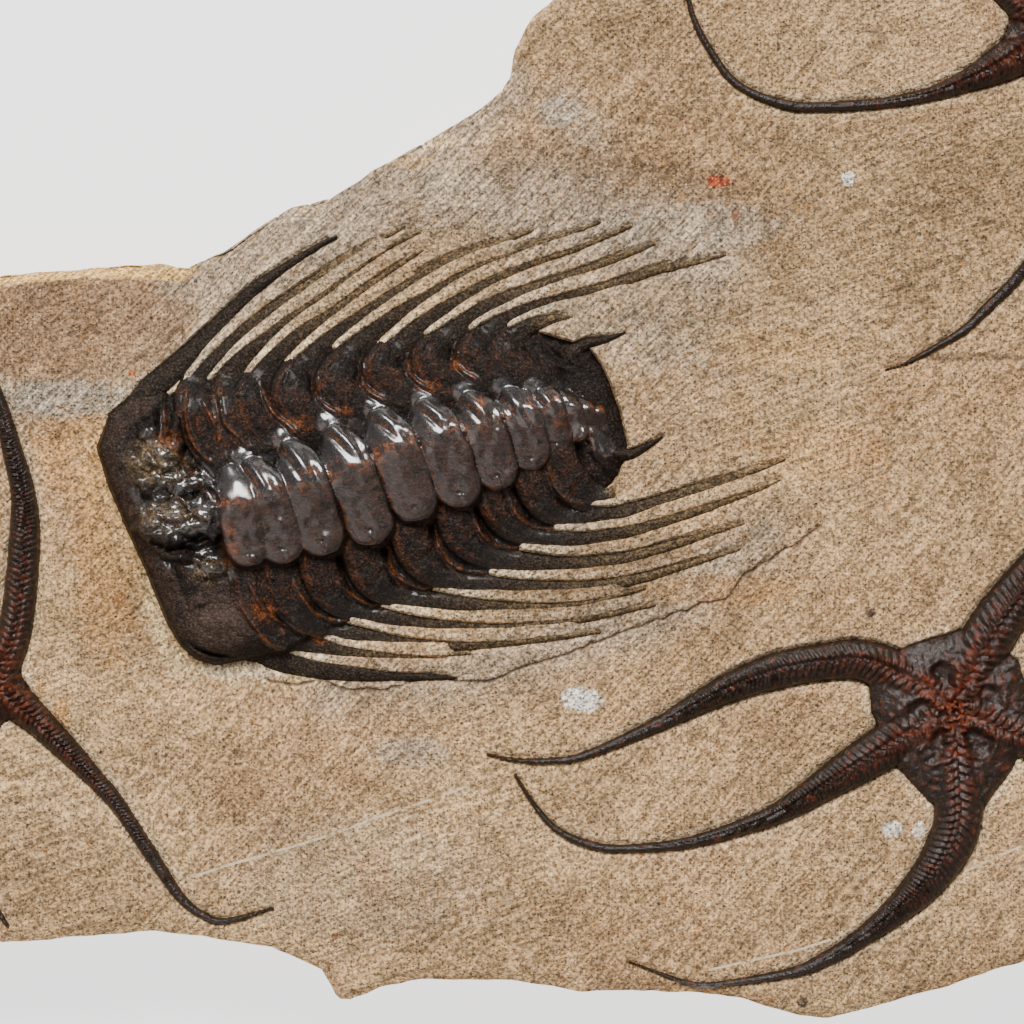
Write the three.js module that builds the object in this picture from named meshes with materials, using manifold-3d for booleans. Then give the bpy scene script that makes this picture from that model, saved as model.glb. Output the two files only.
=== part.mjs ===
// A split slab of fine sandy limestone with one spiny trilobite and three brittle stars cleaned out on its
// face. Millimetres. The slab lies on its back: +Z comes up out of the fossil face, +X runs from the
// trilobite's head towards its tail, and the origin is the middle of the slab's flat back.

import * as THREE from 'three';
import * as BufferGeometryUtils from 'three/addons/utils/BufferGeometryUtils.js';
import Module from 'manifold-3d';

// The trilobite's body is the driving length. Every plan point below is [across, down] on one drawing
// grid, on which that body is BODY_ON_GRID long, and [across, down, half width] along a star's arm.
const BODY_LENGTH = 98;
const BODY_ON_GRID = 490;
const GRID_STEP = BODY_LENGTH / BODY_ON_GRID;
const GRID_MIDDLE = [550, 460];

// Heights above the slab's back.
const FACE_HEIGHT = 30;
const BED_HEIGHT = 26.5;
const OPEN_HEIGHT = 60;
const CLEARANCE = 0.3;
const ROOM_END_CLEARANCE = 0.45;

// The relief of the slab's face: a slow swell, a rise among the spines, and a moat round the head.
const SWELL_HEIGHT = 0.7;
const SWELL_LENGTH = 46;
const SWELL_PHASE = { x: 1, y: -0.5 };
const FAN_RISE = 1.9;
const FAN_REACH = 52;
const MOAT_DEPTH = 2.6;
const MOAT_REACH = 15;
const FACE_CELL = 17;

// A span of a swept line longer than this is halved.
const LONG_SPAN = 27;

// The slab's broken sides: how far each level stands in from the widest one, and the share of that which
// the roughness takes back here and there.
const SIDE_LEVELS = [
  { height: 0, inset: 3 },
  { height: 13, inset: 0 },
  { height: 24, inset: 1.2 },
  { height: OPEN_HEIGHT, inset: 1.6 },
];
const SIDE_ROUGHNESS = 0.5;
const SIDE_ROUGHNESS_STEP = 2.4;

// How far an offset corner may be drawn out: the least share of a full mitre.
const MITRE_LIMIT = 0.5;

// The trilobite's thorax.
const AXIS_CREST = 9;
const AXIS_END_CREST = 6.4;
const RING_HALF_WIDTH = 4.1;
const RING_SHOULDER = 2.1;
const RING_STEPS = 4;
const LOBE_RADIUS = 4.4;
const LOBE_CREST = 7.6;
const RIB_HALF_WIDTH = 3.7;
const RIB_SHOULDER = 2.0;
const RIB_CRESTS = [5.9, 5.3, 4.7, 3.6, 2.3];
const RIB_NARROWS_POINT = 2;
const SPINE_ROOT_POINT = 4;
const SPINE_HALF_WIDTH = 2.1;
const SPINE_TIP_HALF_WIDTH = 0.35;
const SPINE_TIP_CREST = 0.7;
const SPINE_SHOULDER = 0.9;
const SPINE_TAPER_POWER = 1.2;
const SPINE_FLATTENING = 0.6;
const BODY_FLOOR_CREST = 2.3;
const KNOB_FOOT = 2;
const KNOB_UNDERSIDE = 0.2;
const KNOB_SIDES = 6;
const KNOB_LEVELS = 4;
const HEAD_CREST = 5.4;
const HEAD_SPINE_CREST = 3;
const TAIL_CREST = 4.2;
const TAIL_SPINE_CREST = 2;

// The rounding of the head, the tail and a star's disc: how far in towards the middle, and how much of the
// full height is reached there.
const SHIELD_RINGS = [
  { inward: 0, rise: 0.3 },
  { inward: 0.16, rise: 0.72 },
  { inward: 0.45, rise: 0.93 },
  { inward: 0.8, rise: 1 },
];

// A brittle star's arm: its crest over the face where it is thinnest, and what its full width adds.
const ARM_THIN_CREST = 0.45;
const ARM_CREST_PER_HALF_WIDTH = 0.5;
const ARM_SHOULDER = 0.45;
const ARM_SHOULDER_PER_HALF_WIDTH = 0.2;
const ARM_LEAST_HALF_WIDTH = 0.2;
const STAR_CREST = 3.2;

// Each thoracic segment runs from the tip of its upper spine, down over its axial ring, to the tip of its
// lower spine. A row's first point is on the ring's end, and its fifth is the root of the spine.
const SEGMENTS = [
  {
    upper: [[225, 462], [207, 440], [197, 415], [193, 393], [199, 376], [245, 329], [290, 298], [340, 264],
      [405, 226]],
    lower: [[250, 545], [247, 568], [254, 600], [270, 626], [298, 643], [355, 651], [405, 655], [470, 653]],
  },
  {
    upper: [[247, 455], [237, 437], [230, 415], [227, 393], [230, 375], [265, 338], [315, 300], [380, 252],
      [420, 232]],
    lower: [[283, 540], [280, 565], [287, 593], [305, 616], [332, 630], [405, 642], [455, 644], [530, 640],
      [600, 632]],
  },
  {
    upper: [[285, 437], [264, 425], [254, 405], [254, 388], [265, 370], [310, 325], [365, 288], [423, 250]],
    lower: [[322, 532], [318, 560], [325, 583], [340, 600], [367, 613], [405, 621], [505, 627], [580, 619],
      [659, 604]],
  },
  {
    upper: [[327, 422], [302, 412], [291, 395], [296, 375], [312, 358], [375, 304], [455, 258], [533, 230]],
    lower: [[370, 521], [362, 548], [370, 573], [386, 588], [410, 597], [455, 605], [580, 604], [644, 588]],
  },
  {
    upper: [[372, 406], [345, 398], [336, 382], [343, 364], [356, 348], [405, 307], [480, 265], [600, 222]],
    lower: [[414, 498], [410, 530], [418, 554], [436, 570], [464, 580], [530, 586], [630, 580], [739, 549]],
  },
  {
    upper: [[417, 397], [392, 385], [382, 370], [388, 356], [402, 344], [455, 300], [530, 263], [632, 226]],
    lower: [[458, 484], [455, 510], [462, 533], [480, 549], [507, 559], [567, 564], [630, 557], [744, 523]],
  },
  {
    upper: [[462, 389], [437, 375], [430, 360], [438, 346], [451, 334], [480, 310], [555, 281], [655, 244]],
    lower: [[496, 467], [493, 490], [502, 512], [518, 527], [540, 536], [580, 538], [655, 523], [780, 480]],
  },
  {
    upper: [[502, 382], [484, 370], [476, 355], [481, 342], [492, 330], [530, 306], [605, 286], [725, 255]],
    lower: [[530, 450], [530, 470], [538, 492], [552, 508], [572, 515], [630, 511], [705, 487], [785, 459]],
  },
  {
    upper: [[533, 384], [518, 372], [508, 358], [510, 343], [520, 330], [550, 319], [572, 317]],
    lower: [[553, 435], [558, 460], [570, 481], [588, 493], [605, 493], [628, 481]],
  },
];

// The spines of the head's corners and of the tail.
const HEAD_SPINES = [
  [[140, 440], [135, 415], [144, 396], [165, 377], [210, 334], [262, 283], [336, 237]],
  [[205, 615], [235, 643], [270, 657], [330, 670], [380, 675], [457, 678]],
];
const TAIL_SPINES = [
  [[560, 375], [545, 352], [552, 335], [580, 340], [625, 333]],
  [[595, 448], [627, 455], [642, 449], [662, 437]],
];

// The edge of the body between the roots of the spines, and the head and the tail on it.
const BODY_EDGE = [
  [178, 390], [210, 378], [246, 378], [288, 362], [336, 346], [377, 348], [427, 333], [471, 328], [531, 330],
  [588, 347], [610, 385], [627, 445], [618, 475], [588, 503], [557, 527], [523, 546], [492, 572], [436, 587],
  [383, 604], [352, 619], [312, 632], [285, 650], [215, 640], [150, 540], [130, 440],
];
const HEAD_EDGE = [
  [165, 392], [130, 397], [110, 415], [99, 448], [108, 478], [125, 520], [148, 570], [168, 620], [197, 657],
  [250, 655], [286, 650], [262, 605], [247, 560], [232, 500], [200, 440],
];
const HEAD_MIDDLE = [180, 530];
const TAIL_EDGE = [
  [540, 334], [588, 347], [610, 385], [625, 430], [625, 460], [612, 483], [590, 500], [568, 470], [556, 400],
];
const TAIL_MIDDLE = [588, 420];

// The head's knobs: the lobes of the glabella, the eyes and the ring behind them.
const HEAD_KNOBS = [
  { at: [172, 528], radii: [34, 24], crest: 7.4 },
  { at: [212, 512], radii: [26, 26], crest: 8.2 },
  { at: [165, 456], radii: [17, 14], crest: 6.6 },
  { at: [213, 565], radii: [15, 12], crest: 6.8 },
  { at: [188, 556], radii: [12, 10], crest: 6.4 },
  { at: [196, 488], radii: [13, 10], crest: 6.6 },
];
const TAIL_KNOBS = [
  { at: [566, 415], radii: [17, 26], crest: 6.9 },
  { at: [590, 437], radii: [15, 13], crest: 5.0 },
];

const RIGHT_STAR = {
  edge: [
    [960, 630], [912, 645], [868, 668], [872, 712], [898, 768], [930, 802], [985, 806], [1012, 770],
    [1036, 716], [1018, 660],
  ],
  middle: [955, 712],
  arms: [
    [[930, 690, 24], [868, 662, 20], [827, 662, 18], [778, 671, 18], [730, 688, 14], [688, 709, 10],
      [653, 727, 7], [584, 756, 4], [549, 761, 3], [515, 760, 2], [487, 754, 1]],
    [[930, 720, 24], [862, 762, 20], [827, 784, 16], [792, 806, 12], [758, 822, 9], [688, 843, 6],
      [619, 849, 4], [584, 843, 4], [556, 829, 3], [535, 806, 2.5], [515, 775, 1.5]],
    [[955, 740, 27], [959, 815, 24], [945, 855, 22], [921, 888, 18], [893, 914, 13], [862, 938, 9],
      [827, 959, 7], [792, 973, 5], [723, 984, 3], [688, 983, 2.5], [629, 962, 1]],
    [[960, 690, 26], [980, 652, 26], [1002, 617, 25], [1030, 580, 22], [1075, 522, 15], [1120, 465, 9],
      [1150, 415, 4], [1165, 380, 1.5]],
    [[970, 715, 26], [1010, 730, 24], [1065, 750, 19], [1125, 775, 13], [1180, 795, 8], [1222, 790, 4],
      [1245, 760, 1.5]],
  ],
};
const LEFT_STAR = {
  edge: [[-30, 655], [-8, 645], [14, 655], [28, 690], [16, 718], [-16, 730], [-42, 716], [-46, 682]],
  middle: [-8, 688],
  arms: [
    [[-5, 680, 18], [12, 640, 17], [20, 590, 16], [24, 533, 15], [22, 492, 12], [12, 452, 10], [0, 408, 8],
      [-14, 370, 5], [-28, 338, 2]],
    [[0, 690, 18], [18, 704, 18], [44, 727, 14], [96, 780, 9], [120, 808, 8], [161, 870, 6], [181, 898, 5],
      [201, 914, 4], [225, 921, 3], [273, 908, 1]],
    [[-8, 700, 18], [-22, 745, 14], [-30, 800, 9], [-24, 860, 6], [-10, 898, 4], [8, 926, 2]],
    [[-15, 695, 18], [-48, 716, 14], [-86, 752, 9], [-112, 802, 6], [-110, 850, 3], [-85, 880, 1]],
    [[-15, 680, 18], [-48, 657, 14], [-86, 614, 9], [-115, 560, 6], [-122, 500, 3], [-105, 455, 1]],
  ],
};
const TOP_STAR = {
  edge: [
    [1050, -10], [1082, 2], [1098, 30], [1096, 62], [1072, 84], [1044, 84], [1016, 70], [1002, 44], [1014, 8],
  ],
  middle: [1052, 38],
  arms: [
    [[1040, 40, 22], [1005, 62, 19], [966, 81, 11], [930, 94, 7], [882, 103, 5.5], [818, 107, 5],
      [788, 105, 5], [754, 94, 4], [731, 79, 4], [714, 56, 3.5], [698, 28, 3], [689, 0, 2.5], [690, -28, 1]],
    [[1060, 45, 22], [1082, 92, 16], [1090, 145, 12], [1072, 205, 9], [1024, 270, 6], [984, 311, 5],
      [961, 332, 4], [910, 361, 2], [885, 370, 1]],
    [[1062, 45, 22], [1102, 80, 16], [1138, 135, 12], [1150, 200, 7], [1132, 262, 2]],
    [[1060, 32, 22], [1100, 12, 17], [1150, 18, 12], [1198, 60, 7], [1222, 125, 4], [1228, 190, 1.5]],
    [[1045, 28, 22], [1016, -2, 16], [978, -28, 11], [925, -48, 7], [868, -58, 4], [820, -50, 1.5]],
  ],
};

// The slab's outline, clockwise on the drawing grid from its left end.
const SLAB_EDGE = [
  [-190, 430], [-182, 350], [-140, 302], [-70, 286], [0, 275], [100, 268], [163, 263], [185, 268], [220, 250],
  [255, 225], [290, 203], [330, 195], [370, 168], [440, 128], [480, 105], [500, 88], [508, 75], [512, 50],
  [530, 15], [548, 0], [590, -40], [670, -68], [780, -84], [900, -102], [1010, -98], [1100, -74], [1165, -34],
  [1212, 22], [1248, 92], [1266, 180], [1275, 290], [1290, 400], [1284, 520], [1272, 640], [1266, 740],
  [1236, 820], [1180, 884], [1110, 932], [1024, 964], [931, 994], [858, 1014], [827, 1022], [803, 1020],
  [740, 1001], [688, 995], [580, 994], [511, 983], [420, 982], [380, 990], [345, 1005], [335, 1000],
  [320, 972], [270, 950], [200, 938], [150, 933], [70, 940], [0, 945], [-60, 940], [-112, 915], [-150, 860],
  [-168, 780], [-172, 690], [-186, 600], [-180, 520],
];

const wasm = await Module();
wasm.setup();

// A plan point of the drawing grid in millimetres.
function at([across, down]) {
  return new THREE.Vector2((across - GRID_MIDDLE[0]) * GRID_STEP, (GRID_MIDDLE[1] - down) * GRID_STEP);
}

// One at no distance, falling smoothly to nothing at the reach.
function easeOff(distance, reach) {
  const left = Math.max(0, 1 - distance / reach);
  return left * left * (3 - 2 * left);
}

function distanceToLine(point, line) {
  let nearest = Infinity;
  const foot = new THREE.Vector2();
  for (let i = 1; i < line.length; i += 1) {
    const along = line[i].clone().sub(line[i - 1]);
    const share = point.clone().sub(line[i - 1]).dot(along) / along.lengthSq();
    foot.copy(line[i - 1]).addScaledVector(along, THREE.MathUtils.clamp(share, 0, 1));
    nearest = Math.min(nearest, foot.distanceTo(point));
  }
  return nearest;
}

const BODY_LINE = [[240, 470], [420, 440], [600, 400]].map(at);
const HEAD_LINE = [[99, 448], [125, 520], [168, 620], [197, 657], [300, 668]].map(at);

// The height of the slab's face at a point, before the fossils are let into it.
function faceHeight(x, y) {
  const point = new THREE.Vector2(x, y);
  const swell = SWELL_HEIGHT
    * Math.sin(x / SWELL_LENGTH + SWELL_PHASE.x)
    * Math.cos(y / SWELL_LENGTH + SWELL_PHASE.y);
  const fan = FAN_RISE * easeOff(distanceToLine(point, BODY_LINE), FAN_REACH);
  const moat = MOAT_DEPTH * easeOff(distanceToLine(point, HEAD_LINE), MOAT_REACH);
  return FACE_HEIGHT + swell + fan - moat;
}

// A closed solid from a stack of rings of the same number of points, with its end caps triangulated.
function loft(rings, capTriangles) {
  const count = rings[0].length;
  const indices = [];
  for (let r = 1; r < rings.length; r += 1) {
    for (let i = 0; i < count; i += 1) {
      const a = (r - 1) * count + i;
      const b = (r - 1) * count + (i + 1) % count;
      indices.push(a, b, b + count, a, b + count, a + count);
    }
  }
  const last = (rings.length - 1) * count;
  for (const [a, b, c] of capTriangles) {
    indices.push(a, c, b, last + a, last + b, last + c);
  }
  const geometry = new THREE.BufferGeometry();
  const points = rings.flat();
  geometry.setAttribute('position', new THREE.Float32BufferAttribute(points.flatMap((p) => p.toArray()), 3));
  geometry.setIndex(indices);
  return geometry;
}

function solid(geometry) {
  geometry.deleteAttribute('normal');
  geometry.deleteAttribute('uv');
  const merged = BufferGeometryUtils.mergeVertices(geometry);
  return new wasm.Manifold(new wasm.Mesh({
    numProp: 3,
    vertProperties: new Float32Array(merged.attributes.position.array),
    triVerts: new Uint32Array(merged.index.array),
  }));
}

function joined(solids) {
  return solids.reduce((whole, next) => whole.add(next));
}

// A ridge swept along a line of stations { x, y, half, crest, shoulder }, standing on the floor height.
function ridge(stations, floor) {
  return sweep(stations, (station) => [
    [-station.half, floor], [station.half, floor], [station.half, station.crest - station.shoulder],
    [0, station.crest], [-station.half, station.crest - station.shoulder],
  ]);
}

// The room that a ridge needs in the slab: a little wider and longer, and open upwards.
function ridgeRoom(stations) {
  const longer = stations.map((station) => ({ ...station, half: station.half + CLEARANCE }));
  for (const [end, inner] of [[0, 1], [stations.length - 1, stations.length - 2]]) {
    const out = new THREE.Vector2(stations[end].x - stations[inner].x, stations[end].y - stations[inner].y);
    out.setLength(ROOM_END_CLEARANCE);
    longer[end].x += out.x;
    longer[end].y += out.y;
  }
  return sweep(longer, (station) => [
    [-station.half, BED_HEIGHT], [station.half, BED_HEIGHT],
    [station.half, OPEN_HEIGHT], [-station.half, OPEN_HEIGHT],
  ]);
}

// A closed solid with a changing section along stations. A section's points are [to the left, up], and
// run round it from its lower right corner as seen along the line.
function sweep(stations, section) {
  const rings = stations.map((station, i) => {
    const before = stations[Math.max(0, i - 1)];
    const after = stations[Math.min(stations.length - 1, i + 1)];
    const along = new THREE.Vector2(after.x - before.x, after.y - before.y).normalize();
    return section(station).map(([side, height]) => (
      new THREE.Vector3(station.x - side * along.y, station.y + side * along.x, height)
    ));
  });
  const cap = Array.from({ length: rings[0].length - 2 }, (_, i) => [0, i + 1, i + 2]);
  return solid(loft(rings, cap));
}

// Plan points with the middle of each long span added, on a smooth curve through them.
function along(points) {
  const curve = new THREE.CatmullRomCurve3(points.map((point) => {
    const place = at(point);
    return new THREE.Vector3(place.x, place.y, point[2] ?? 0);
  }), false, 'centripetal');
  const lastStep = points.length - 1;
  const places = [];
  for (let step = 0; step <= lastStep; step += 1) {
    const place = curve.getPoint(step / lastStep);
    places.push({ place, step });
    if (step < lastStep && curve.getPoint((step + 1) / lastStep).distanceTo(place) > LONG_SPAN) {
      places.push({ place: curve.getPoint((step + 0.5) / lastStep), step: step + 0.5 });
    }
  }
  return places;
}

// The rib that leaves an axial ring and runs out into a spine.
function ribStations(points) {
  const lastStep = points.length - 1;
  return along(points).map(({ place, step }) => {
    const out = Math.max(0, (step - SPINE_ROOT_POINT) / (lastStep - SPINE_ROOT_POINT));
    const inner = Math.min(step, SPINE_ROOT_POINT);
    const low = Math.floor(inner);
    const high = Math.min(low + 1, SPINE_ROOT_POINT);
    const ribCrest = THREE.MathUtils.lerp(RIB_CRESTS[low], RIB_CRESTS[high], inner - low);
    const ribShare = easeOff(Math.max(0, step - RIB_NARROWS_POINT), SPINE_ROOT_POINT - RIB_NARROWS_POINT);
    return {
      x: place.x,
      y: place.y,
      half: THREE.MathUtils.lerp(spineHalf(out), RIB_HALF_WIDTH, ribShare),
      crest: FACE_HEIGHT + THREE.MathUtils.lerp(ribCrest, SPINE_TIP_CREST, out),
      shoulder: THREE.MathUtils.lerp(SPINE_SHOULDER, RIB_SHOULDER, ribShare) * (1 - SPINE_FLATTENING * out),
    };
  });
}

function spineHalf(out) {
  return THREE.MathUtils.lerp(SPINE_HALF_WIDTH, SPINE_TIP_HALF_WIDTH, Math.pow(out, SPINE_TAPER_POWER));
}

// A spine that leaves the head or the tail without a rib of its own.
function spineStations(points, rootCrest) {
  const lastStep = points.length - 1;
  return along(points).map(({ place, step }) => ({
    x: place.x,
    y: place.y,
    half: spineHalf(step / lastStep),
    crest: FACE_HEIGHT + THREE.MathUtils.lerp(rootCrest, SPINE_TIP_CREST, step / lastStep),
    shoulder: SPINE_SHOULDER,
  }));
}

// The arch of an axial ring, from the head of its upper rib to the head of its lower one.
function ringStations(upperEnd, lowerEnd) {
  const start = at(upperEnd);
  const end = at(lowerEnd);
  return Array.from({ length: RING_STEPS + 1 }, (_, i) => {
    const share = i / RING_STEPS;
    const arch = Math.sin(Math.PI * share);
    return {
      x: THREE.MathUtils.lerp(start.x, end.x, share),
      y: THREE.MathUtils.lerp(start.y, end.y, share),
      half: RING_HALF_WIDTH,
      crest: FACE_HEIGHT + AXIS_END_CREST + (AXIS_CREST - AXIS_END_CREST) * arch,
      shoulder: RING_SHOULDER,
    };
  });
}

// An outline moved outwards by a margin.
function grow(points, margin) {
  const turn = Math.sign(THREE.ShapeUtils.area(points));
  return points.map((point, i) => {
    const before = points[(i + points.length - 1) % points.length];
    const after = points[(i + 1) % points.length];
    const first = point.clone().sub(before).normalize();
    const second = after.clone().sub(point).normalize();
    const out = new THREE.Vector2(first.y + second.y, -first.x - second.x).normalize();
    const stretch = Math.max(MITRE_LIMIT, Math.abs(out.x * first.y - out.y * first.x));
    return point.clone().addScaledVector(out, turn * margin / stretch);
  });
}

// A solid stood up on an outline, level by level. Each level gives its height and its outline.
function stack(levels) {
  const points = levels.map(({ outline }) => outline);
  const turned = THREE.ShapeUtils.area(points[0]) < 0 ? points.map((ring) => [...ring].reverse()) : points;
  const rings = turned.map((ring, i) => ring.map((p) => new THREE.Vector3(p.x, p.y, levels[i].height)));
  return solid(loft(rings, THREE.ShapeUtils.triangulateShape(turned[0], [])));
}

function shrinkTo(outline, middle, share) {
  return outline.map((point) => point.clone().lerp(middle, share));
}

// A low shield on an outline: a steep edge, a shoulder and a rounded top.
function shield(edge, middle, crest) {
  const outline = edge.map(at);
  const centre = at(middle);
  return stack([
    { height: BED_HEIGHT + CLEARANCE, outline },
    ...SHIELD_RINGS.map(({ inward, rise }) => (
      { height: FACE_HEIGHT + crest * rise, outline: shrinkTo(outline, centre, inward) }
    )),
  ]);
}

function outlineRoom(edge) {
  const outline = grow(edge.map(at), CLEARANCE);
  return stack([{ height: BED_HEIGHT, outline }, { height: OPEN_HEIGHT, outline }]);
}

// A round knob that stands on the shield: a ball pressed out of round, nearly flat underneath.
function knob({ at: place, radii, crest }) {
  const geometry = new THREE.SphereGeometry(1, KNOB_SIDES, KNOB_LEVELS);
  geometry.rotateX(Math.PI / 2);
  const position = geometry.attributes.position;
  for (let i = 0; i < position.count; i += 1) {
    position.setZ(i, Math.max(position.getZ(i), -KNOB_UNDERSIDE));
  }
  geometry.scale(radii[0] * GRID_STEP, radii[1] * GRID_STEP, crest - KNOB_FOOT);
  const middle = at(place);
  geometry.translate(middle.x, middle.y, FACE_HEIGHT + KNOB_FOOT);
  return solid(geometry);
}

function trilobiteSolid() {
  const floor = BED_HEIGHT + CLEARANCE;
  const pieces = SEGMENTS.flatMap(({ upper, lower }) => [
    ridge(ribStations(upper), floor),
    ridge(ribStations(lower), floor),
    ridge(ringStations(upper[0], lower[0]), FACE_HEIGHT),
    knob({ at: lower[0], radii: [LOBE_RADIUS / GRID_STEP, LOBE_RADIUS / GRID_STEP], crest: LOBE_CREST }),
  ]);
  const bodyFloor = BODY_EDGE.map(at);
  pieces.push(
    stack([
      { height: floor, outline: bodyFloor },
      { height: FACE_HEIGHT + BODY_FLOOR_CREST, outline: bodyFloor },
    ]),
    shield(HEAD_EDGE, HEAD_MIDDLE, HEAD_CREST),
    shield(TAIL_EDGE, TAIL_MIDDLE, TAIL_CREST),
    ...HEAD_SPINES.map((points) => ridge(spineStations(points, HEAD_SPINE_CREST), floor)),
    ...TAIL_SPINES.map((points) => ridge(spineStations(points, TAIL_SPINE_CREST), floor)),
    ...HEAD_KNOBS.map(knob),
    ...TAIL_KNOBS.map(knob),
  );
  return joined(pieces);
}

function trilobiteRoom() {
  return joined([
    outlineRoom(BODY_EDGE),
    outlineRoom(HEAD_EDGE),
    outlineRoom(TAIL_EDGE),
    ...SEGMENTS.flatMap(({ upper, lower }) => [ridgeRoom(ribStations(upper)), ridgeRoom(ribStations(lower))]),
    ...HEAD_SPINES.map((points) => ridgeRoom(spineStations(points, HEAD_SPINE_CREST))),
    ...TAIL_SPINES.map((points) => ridgeRoom(spineStations(points, TAIL_SPINE_CREST))),
  ]);
}

function armStations(points) {
  return along(points).map(({ place }) => {
    const half = Math.max(place.z * GRID_STEP, ARM_LEAST_HALF_WIDTH);
    return {
      x: place.x,
      y: place.y,
      half,
      crest: faceHeight(place.x, place.y) + ARM_THIN_CREST + ARM_CREST_PER_HALF_WIDTH * half,
      shoulder: ARM_SHOULDER + ARM_SHOULDER_PER_HALF_WIDTH * half,
    };
  });
}

function starSolid({ edge, middle, arms }) {
  const floor = BED_HEIGHT + CLEARANCE;
  return joined([
    shield(edge, middle, STAR_CREST),
    ...arms.map((points) => ridge(armStations(points), floor)),
  ]);
}

function starRoom({ edge, arms }) {
  return joined([outlineRoom(edge), ...arms.map((points) => ridgeRoom(armStations(points)))]);
}

// The block whose upper side is the slab's face, cut to cells.
function faceBlock() {
  const outline = SLAB_EDGE.map(at);
  const box = new THREE.Box2().setFromPoints(outline);
  const size = box.getSize(new THREE.Vector2());
  const middle = box.getCenter(new THREE.Vector2());
  const geometry = new THREE.BoxGeometry(
    size.x + FACE_CELL,
    size.y + FACE_CELL,
    2 * FACE_HEIGHT,
    Math.round(size.x / FACE_CELL),
    Math.round(size.y / FACE_CELL),
    1,
  );
  geometry.translate(middle.x, middle.y, 0);
  const position = geometry.attributes.position;
  for (let i = 0; i < position.count; i += 1) {
    if (position.getZ(i) > 0) {
      position.setZ(i, faceHeight(position.getX(i), position.getY(i)));
    }
  }
  return solid(geometry);
}

function slabSolid() {
  const outline = SLAB_EDGE.map(at);
  const sides = stack(SIDE_LEVELS.map(({ height, inset }, level) => {
    const rough = grow(outline, -inset).map((point, i) => (
      point.lerp(outline[i], SIDE_ROUGHNESS * Math.abs(Math.sin(i * SIDE_ROUGHNESS_STEP + level)))
    ));
    return { height, outline: rough };
  }));
  const rooms = joined([trilobiteRoom(), ...[RIGHT_STAR, LEFT_STAR, TOP_STAR].map(starRoom)]);
  return faceBlock().intersect(sides).subtract(rooms);
}

function piece(name, shape, colour, roughness) {
  const { vertProperties, triVerts } = shape.getMesh();
  const geometry = new THREE.BufferGeometry();
  geometry.setAttribute('position', new THREE.BufferAttribute(vertProperties, 3));
  geometry.setIndex(new THREE.BufferAttribute(triVerts, 1));
  const material = new THREE.MeshStandardMaterial({ color: colour, roughness, metalness: 0 });
  const mesh = new THREE.Mesh(geometry, material);
  mesh.name = name;
  return mesh;
}

const specimen = new THREE.Group();
specimen.add(
  piece('matrix_slab', slabSolid(), 0xa8947a, 0.9),
  piece('trilobite', trilobiteSolid(), 0x33271f, 0.3),
  piece('brittle_star_right', starSolid(RIGHT_STAR), 0x3a2a22, 0.5),
  piece('brittle_star_left', starSolid(LEFT_STAR), 0x3a2a22, 0.5),
  piece('brittle_star_top', starSolid(TOP_STAR), 0x3a2a22, 0.5),
);

export default specimen;
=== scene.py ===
"""A split slab of sandy limestone with a spiny trilobite and three brittle stars cleaned out on its face.

Plan points are [across, down] on the drawing grid on which the trilobite's body is 490 long. Heights and
widths in the relief are millimetres, and the finished meshes are metres.
"""

import math

import bpy
import numpy as np
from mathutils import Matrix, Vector


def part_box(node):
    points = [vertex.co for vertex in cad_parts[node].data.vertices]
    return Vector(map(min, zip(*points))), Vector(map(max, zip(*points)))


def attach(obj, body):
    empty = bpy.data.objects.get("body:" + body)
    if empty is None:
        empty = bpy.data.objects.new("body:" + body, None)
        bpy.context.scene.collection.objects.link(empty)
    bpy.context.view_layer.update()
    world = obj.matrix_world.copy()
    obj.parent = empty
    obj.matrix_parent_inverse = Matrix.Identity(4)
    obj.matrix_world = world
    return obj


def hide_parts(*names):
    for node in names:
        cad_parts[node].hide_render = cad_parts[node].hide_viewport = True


bl_info = {
    "name": "Trilobite Slab",
    "version": (1, 0, 0),
    "blender": (4, 5, 0),
    "location": "View3D > Sidebar > Fossil Slab",
    "description": "Builds a limestone slab with a spiny trilobite and brittle stars in relief",
    "category": "Object",
}

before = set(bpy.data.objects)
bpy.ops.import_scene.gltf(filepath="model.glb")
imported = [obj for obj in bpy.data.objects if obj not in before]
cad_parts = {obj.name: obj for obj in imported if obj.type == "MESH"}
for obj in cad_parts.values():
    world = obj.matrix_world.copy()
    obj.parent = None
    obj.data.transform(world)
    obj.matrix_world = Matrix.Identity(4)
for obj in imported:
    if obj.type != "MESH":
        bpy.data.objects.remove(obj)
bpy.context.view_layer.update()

MM = 0.001
GRID_STEP = 0.2
GRID_MIDDLE = (550, 460)

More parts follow.
